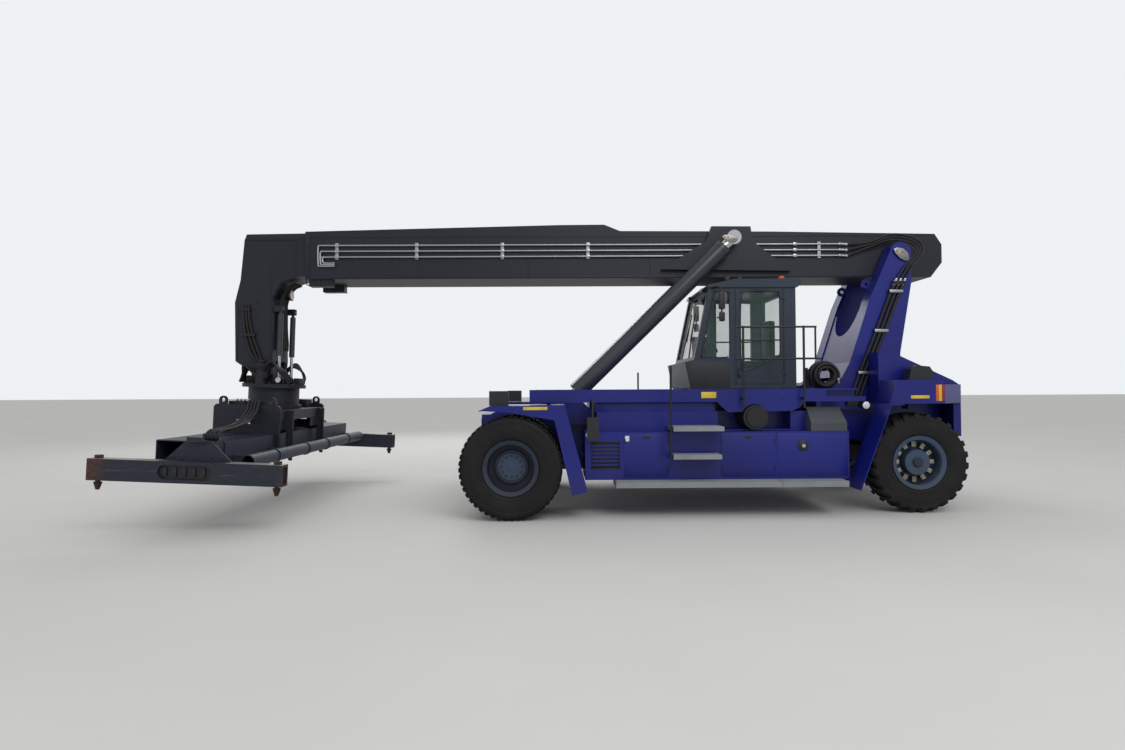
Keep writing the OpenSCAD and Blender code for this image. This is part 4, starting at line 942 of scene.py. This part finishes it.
def add_lenses():
    rear = block((-6280, 1320, 1985), (-6264, 1480, 2060), 6)
    finished("rear_lenses", rear, "lamps", "lamp_plastic", RED, both=True)
    tail = block((-6976, 620, 1640), (-6964, 860, 1730), 6)
    finished("tail_lamps", tail, "counterweight", "lamp_plastic", RED, both=True)
    front = [block((302, 1792, 1630), (312, 1908, 1808), 6),
             spun([(0.5, 0), (0.5, 10), (40, 8), (52, 0)], -5209, 1610, 1583, 28)]
    finished("front_lenses", front, "lamps", "lamp_plastic", LENS, both=True)
    tow = [block((-6990, -150, 1180), (-6966, 150, 1420), 10),
           rod((-6985, 0, 1150), (-6985, 0, 1450), 22, 20, 4)]
    finished("tow_plate", tow, "counterweight", "chassis_dark")


def add_post_fittings():
    clamps = [block((x - 108, 842, z - 22), (x + 108, 850, z + 22), 4)
              for x, z in ((-6060, 3375), (-5815, 2747), (-5543, 2080))]
    finished("hose_clamps", clamps, "rear_hoses", "pipe_steel", both=True)
    unions = []
    for x in (-6098 - 70, -6098, -6098 + 70):
        unions += [rod((x, POST_HOSE_Y, 3470), (x - 42, POST_HOSE_Y, 3552), 31, 6, 2),
                   rod((x - 38, POST_HOSE_Y, 3546), (x - 54, POST_HOSE_Y, 3580), 22, 16, 2)]
    finished("hose_fittings", unions, "rear_hoses", "pipe_steel", both=True)


# Boom

PIPE_Y = 482
PIPES_Z = (4206, 4111, 4016)
PIPE_ENDS = ((3232, 3868), (3196, 3894), (3160, 3920))
BOOM_Y = 448
PIN_PLATE = [(-3304, 4262), (-3330, 4290), (-3420, 4300), (-3520, 4270), (-3560, 4230), (-3540, 4190),
             (-3460, 4170), (-3360, 4200)]
PIVOT_PLATE = [(-6040, 4050), (-6090, 4080), (-6200, 4060), (-6270, 3990), (-6290, 3880), (-6240, 3860),
               (-6150, 3900), (-6070, 3980)]


def add_boom_pipes():
    bends = []
    for z, (reach, drop) in zip(PIPES_Z, PIPE_ENDS):
        bends.append(hose([(3170, PIPE_Y, z), (reach - 26, PIPE_Y, z - 1), (reach, PIPE_Y, z - 28),
                           (reach - 4, PIPE_Y, drop + 30), (reach - 34, PIPE_Y, drop),
                           (2960, PIPE_Y, drop)], 15, 4))
    finished("pipe_bends", bends, "boom_outer", "pipe_steel", both=True)
    fits, loops = [], []
    for i, z in enumerate(PIPES_Z):
        fits += [rod((-5290, PIPE_Y, z), (-5340, PIPE_Y, z), 26, 6, 2),
                 rod((-5340, PIPE_Y, z), (-5430, PIPE_Y, z - 8), 21, 16, 2),
                 rod((-5400, PIPE_Y, z - 4), (-5440, PIPE_Y, z - 8), 27, 6, 2)]
        fits += [block((x - 6, PIPE_Y - 20, z - 26), (x + 58, PIPE_Y + 22, z + 26), 6)
                 for x in (2900, 1600, 200, -1200, -4600)]
        loops.append(hose([(-5436, PIPE_Y, z - 8), (-5786, 540, 4225 - 40 * i), (-6083, 600, 4330 - 45 * i),
                           (-6362, 640, 4300 - 50 * i), (-6560 + 40 * i, 680, 4170 - 30 * i),
                           (-6540 + 60 * i, 730, 3990), (-6360 + 60 * i, 800, 3800),
                           (-6222 + 70 * i, POST_HOSE_Y, 3575)], 18))
    finished("pipe_fittings", fits, "boom_outer", "pipe_steel", both=True)
    finished("boom_rear_hoses", loops, "tower_posts", "hose_rubber", both=True,
             bends=("boom_outer", (-6250, 0, 3760), (-6420, 0, 4330)))


def add_pin_plates():
    for side, word in SIDES:
        cap = [plate(PIN_PLATE, 784, 796)] + bolts(795, 13, ((-3350, 4262), (-3400, 4268), (-3500, 4232)))
        finished("lift_pin_plates_" + word, sided(cap, side), "lift_rod_" + word, "lock_steel", WORN_STEEL_AND_HIGHLIGHT)
    cap = [plate(PIVOT_PLATE, 809, 820)] + bolts(819, 15, ((-6100, 4030), (-6180, 4010), (-6240, 3920)))
    finished("pivot_plates", cap, "boom_outer", "lock_steel", WORN_STEEL_AND_HIGHLIGHT, both=True)


def add_boom_shell():
    seams = slabs(BOOM_Y, 6, 2, (-6700, 4340, 3440, 4362)) + slabs(BOOM_Y, 8, 3, (-6600, 3668, 3440, 3700))
    seams += slabs(BOOM_Y, 5, 2, *[(x, 3700, x + 14, 4342) for x in (-2200, -200, 1900, 3300)])
    finished("boom_seams", seams, "boom_outer", "boom_navy", both=True)
    collar = slabs(BOOM_Y, 14, 6, (3380, 3700, 3454, 4420))
    collar += bolts(461, 15, [(3417, z) for z in (3820, 3900, 4120, 4200)])
    finished("boom_collar", collar, "boom_outer", "boom_navy", both=True)
    hooks = []
    for x in (3440, 3220):
        hooks += [hose([(x, 430, 3690), (x, 430, 3600), (x - 20, 430, 3572), (x - 80, 430, 3560)], 9),
                  hose([(x - 120, 430, 3690), (x - 130, 430, 3620), (x - 170, 430, 3570),
                        (x - 190, 430, 3555)], 9)]
    finished("hose_hooks", hooks, "boom_outer", "rail_black", both=True)
    tail = [block((-6990, 200, 3960), (-6820, 240, 4240), 14),
            block((-6990, 120, 4020), (-6960, 330, 4180), 10)]
    finished("boom_tail_lugs", tail, "boom_outer", "boom_navy", both=True)
    cover = plate([(3466, 4322), (3466, 4444), (4462, 4430), (4494, 4322)], -338, 338, rounding=8)
    finished("neck_cover", cover, "boom_inner", "boom_navy")


# Gooseneck

LAMP_Z = 3457
NECK_Y = 329


def add_neck_lamp():
    def turned_part(x0, x1, radius, rounding, end=None):
        return rod((x0, 0, LAMP_Z), (x1, 0, LAMP_Z), radius, 28, rounding, end)

    housing = [turned_part(4040, 3930, 70, 8), turned_part(3935, 3850, 70, 5, 92)]
    finished("neck_lamp", housing, "boom_inner", "lamp_plastic")
    finished("neck_lamp_ring", turned_part(3852, 3838, 94, 3), "boom_inner", "lamp_plastic", RED)
    finished("neck_lamp_lens", turned_part(3840, 3828, 76, 4), "boom_inner", "lamp_plastic", LENS)


def add_neck_details():
    inner = []
    for n in range(5):
        y = -120 + 60 * n
        inner.append(hose([(3720, y, 3640), (3860, y, 3560 - 20 * (n % 2)), (3985, y * 1.2, 3300),
                           (3992, y * 1.4, 2900), (3980, y * 1.5, 2640), (3990, y * 1.55, 2520)], 21))
    finished("neck_hoses", inner, "boom_inner", "hose_rubber")
    outer = [hose([(4420 + 48 * n, 352, 3260), (4400 + 48 * n, 356, 3000), (4330 + 60 * n, 362, 2700),
                   (4250 + 66 * n, 366, 2480), (4200 + 40 * n, 372, 2330)], 19) for n in range(3)]
    finished("neck_side_hoses", outer, "boom_inner", "hose_rubber", both=True)
    clamps = slabs(NECK_Y, 49, 5, (4385, 3160, 4560, 3200)) + slabs(NECK_Y, 59, 5, (4300, 2740, 4500, 2780))
    heads = bolts(NECK_Y, 14, [(4300, z) for z in (3500, 3300, 3050, 2800, 2600)])
    finished("neck_clamps", clamps + heads, "boom_inner", "boom_navy", both=True)
    edges = slabs(328, 8, 3, (4050, 2360, 4076, 4180), (4600, 2360, 4624, 3280))
    finished("neck_edges", edges, "boom_inner", "boom_navy", both=True)
    x, z = PIN[0], PIN[2]
    cap = spun([(0.5, 0), (0.5, 12), (70, 12), (84, 6), (84, 0)], x, 350, z, 32)
    heads = bolts(361, 10, [on_circle(x, z, 48, math.radians(a)) for a in (90, 210, 330)])
    finished("tilt_pin_caps", [cap] + heads, "tilt_head", "lock_steel", WORN_STEEL_AND_HIGHLIGHT, both=True)


# Head and spreader, modelled level and tilted with their frame

RX = 4120
BEAM_X = RX - 155
BEAM_HALF = 1222
BEAM_FACE = 5853 / 2 + 90
SLOT_HALF, SLOT_RADIUS, SLOT_Z = 246, 84, 826


def hung(*what, **how):
    return finished(*what, tilt=True, **how)


def add_head():
    washer = rod((RX + 462, 0, 1960), (RX + 462, 0, 1966), 20, 18, 1)
    head = rod((RX + 462, 0, 1964), (RX + 462, 0, 1984), 15, 6, 2)
    heads = [part for shape in (washer, head) for part in ring(shape, 28, (RX, 0, 0), "Z")]
    hung("head_bolts", heads, "tilt_head", "lock_steel")
    motor = [rod((RX + 60, 430, 2195), (RX + 60, 430, 2290), 88, 32, 8),
             rod((RX + 60, 430, 2285), (RX + 60, 430, 2350), 58, 24, 8),
             block((RX - 40, 370, 2040), (RX + 20, 490, 2160), 12),
             block((RX + 100, 380, 2060), (RX + 190, 480, 2140), 12)]
    hung("rotator_motors", motor, "tilt_head", "chassis_dark", both=True)
    loops = []
    for n in range(5):
        y = 330 + 26 * n
        loops.append(hose([(RX - 30 + 20 * n, 420 + 10 * n, 2150), (RX - 140, y + 80, 2260 + 16 * n),
                           (RX - 300 + 10 * n, y + 90, 2190), (RX - 390 + 14 * n, y, 2060),
                           (RX - 360, y - 60, 1985)], 19))
        loops.append(hose([(RX + 150, 420 + 10 * n, 2110), (RX + 240 + 14 * n, y + 90, 2200 + 12 * n),
                           (RX + 330, y + 40, 2110), (RX + 370 + 8 * n, y - 30, 1985)], 19))
    hung("head_hoses", loops, "tilt_head", "hose_rubber", both=True)
    valves = [block((RX + 180, -160, 1962), (RX + 420, 160, 2090), 14),
              block((RX + 210, -120, 2085), (RX + 270, 120, 2130), 8),
              block((RX - 460, -120, 1962), (RX - 360, 120, 2070), 12)]
    hung("head_valves", valves, "tilt_head", "chassis_dark")
    tooth = block((RX + 432, -14, 1575), (RX + 450, 14, 1612), 3, 1)
    hung("ring_gear", ring(tooth, 64, (RX, 0, 0), "Z"), "rotator", "lock_steel")


def add_shift_frame():
    straps = [block((3788, 1001, 770), (3898, 1014, 1180), 5), block((3496, 705, 760), (3560, 720, 1530), 5),
              block((3496, 705, 1515), (3620, 720, 1555), 5)]
    hung("frame_straps", straps, "shift_frame", "rail_black", both=True)
    kit = [block((RX - 330, 620, 1561), (RX - 90, 900, 1700), 14),
           block((RX + 80, 640, 1561), (RX + 340, 900, 1680), 14)]
    kit += [rod((x, 905, 1620), (x, 940, 1620), 17, 6, 2) for x in range(RX - 300, RX - 119, 60)]
    hung("spreader_valves", kit, "shift_frame", "chassis_dark", both=True)
    unions = [rod((x, 700, 1679), (x, 700, 1712), 17, 6, 2) for x in range(RX + 110, RX + 291, 60)]
    hung("valve_fittings", unions, "shift_frame", "pipe_steel", both=True)
    guides = bolts(999, 14, [(x, z) for z in (1150, 1350, 1500) for x in (RX - 480, RX + 480)])
    hung("guide_bolts", guides, "shift_frame", "boom_navy", both=True)


def add_beam(side, word, tube_x):
    """What one end beam and its end of the main frame carry, built for the left and mirrored to the right."""
    node = "spreader_beam_" + word
    # Light steel strips along the beam's top face, broken where the tube plates stand: a painted highlight of
    # the lit top
    top = [block((BEAM_X - BEAM_HALF, BEAM_FACE - 181, 957), (tube_x - 432, BEAM_FACE - 1, 965), 3),
           block((tube_x + 432, BEAM_FACE - 181, 957), (BEAM_X + BEAM_HALF, BEAM_FACE - 1, 965), 3)]
    hung("beam_top_wear_" + word, sided(top, side), node, "lock_steel", WORN_STEEL_AND_HIGHLIGHT)
    slot = [on_circle(BEAM_X + end * SLOT_HALF, SLOT_Z, SLOT_RADIUS, math.radians(15 * i - 90 * end))
            for end in (1, -1) for i in range(13)]
    inside = [plate(slot, BEAM_FACE - 41, BEAM_FACE - 37, rounding=0)]
    spans = [(x, 770, x + 36, 880) for x in range(BEAM_X - 250, BEAM_X + 231, 120)]
    inside += slabs(BEAM_FACE - 38, 24, 6, *spans)
    hung("beam_slot_parts_" + word, sided(inside, side), node, "mirror_shell")
    gusset = slabs(BEAM_FACE - 166, 8, 3, (tube_x - 150, 1190, tube_x + 150, 1214))
    gusset += bolts(BEAM_FACE - 164, 13, [(tube_x + u, 1010) for u in (-300, -180, 180, 300)])
    hung("gusset_bolts_" + word, sided(gusset, side), node, "spreader_worn")
    lines = []
    for n in range(4):
        x = tube_x - 75 + 50 * n
        lines.append(hose([(x, 2552, 1240), (x + 10, 2400, 1320), (x + 20, 2000, 1350 - 30 * (n % 2)),
                           (x + 50, 1500, 1410), (x + 100, 1130, 1550), (x + 140, 990, 1650),
                           (x + 140, 930, 1690)], 22))
    hung("spreader_hoses_" + word, sided(lines, side), "rotator", "hose_rubber",
         bends=("spreader_main", (RX, side * 1000, 1600), (RX, side * 2500, 1600)))
    ports = [block((tube_x - 105, 2540, 1188), (tube_x + 105, 2556, 1292), 5)]
    ports += [rod((tube_x - 75 + 50 * n, 2556, 1240), (tube_x - 75 + 50 * n, 2584, 1240), 24, 6, 2)
              for n in range(4)]
    hung("hose_ports_" + word, sided(ports, side), "spreader_main", "boom_navy")


bpy.context.scene.view_settings.view_transform = "Standard"
add_camera()
add_coil()
add_floor()
add_world()
add_area("key", (AXLE_X - 6, 14, 12), (0, 0, 1.5), (10, 6), 900)
add_area("rear_fill", (AXLE_X + 4, -14, 11), (0, 0, 2), (10, 6), 700)
add_wheels()
add_cab_panels()
add_wipers()
add_cab_mirrors()
add_roof()
add_seat()
add_tanks()
add_grilles()
add_steps()
add_markers()
add_lenses()
add_post_fittings()
add_boom_pipes()
add_pin_plates()
add_boom_shell()
add_neck_lamp()
add_neck_details()
add_head()
add_shift_frame()
for side, word in SIDES:
    add_beam(side, word, RX - side * 235)
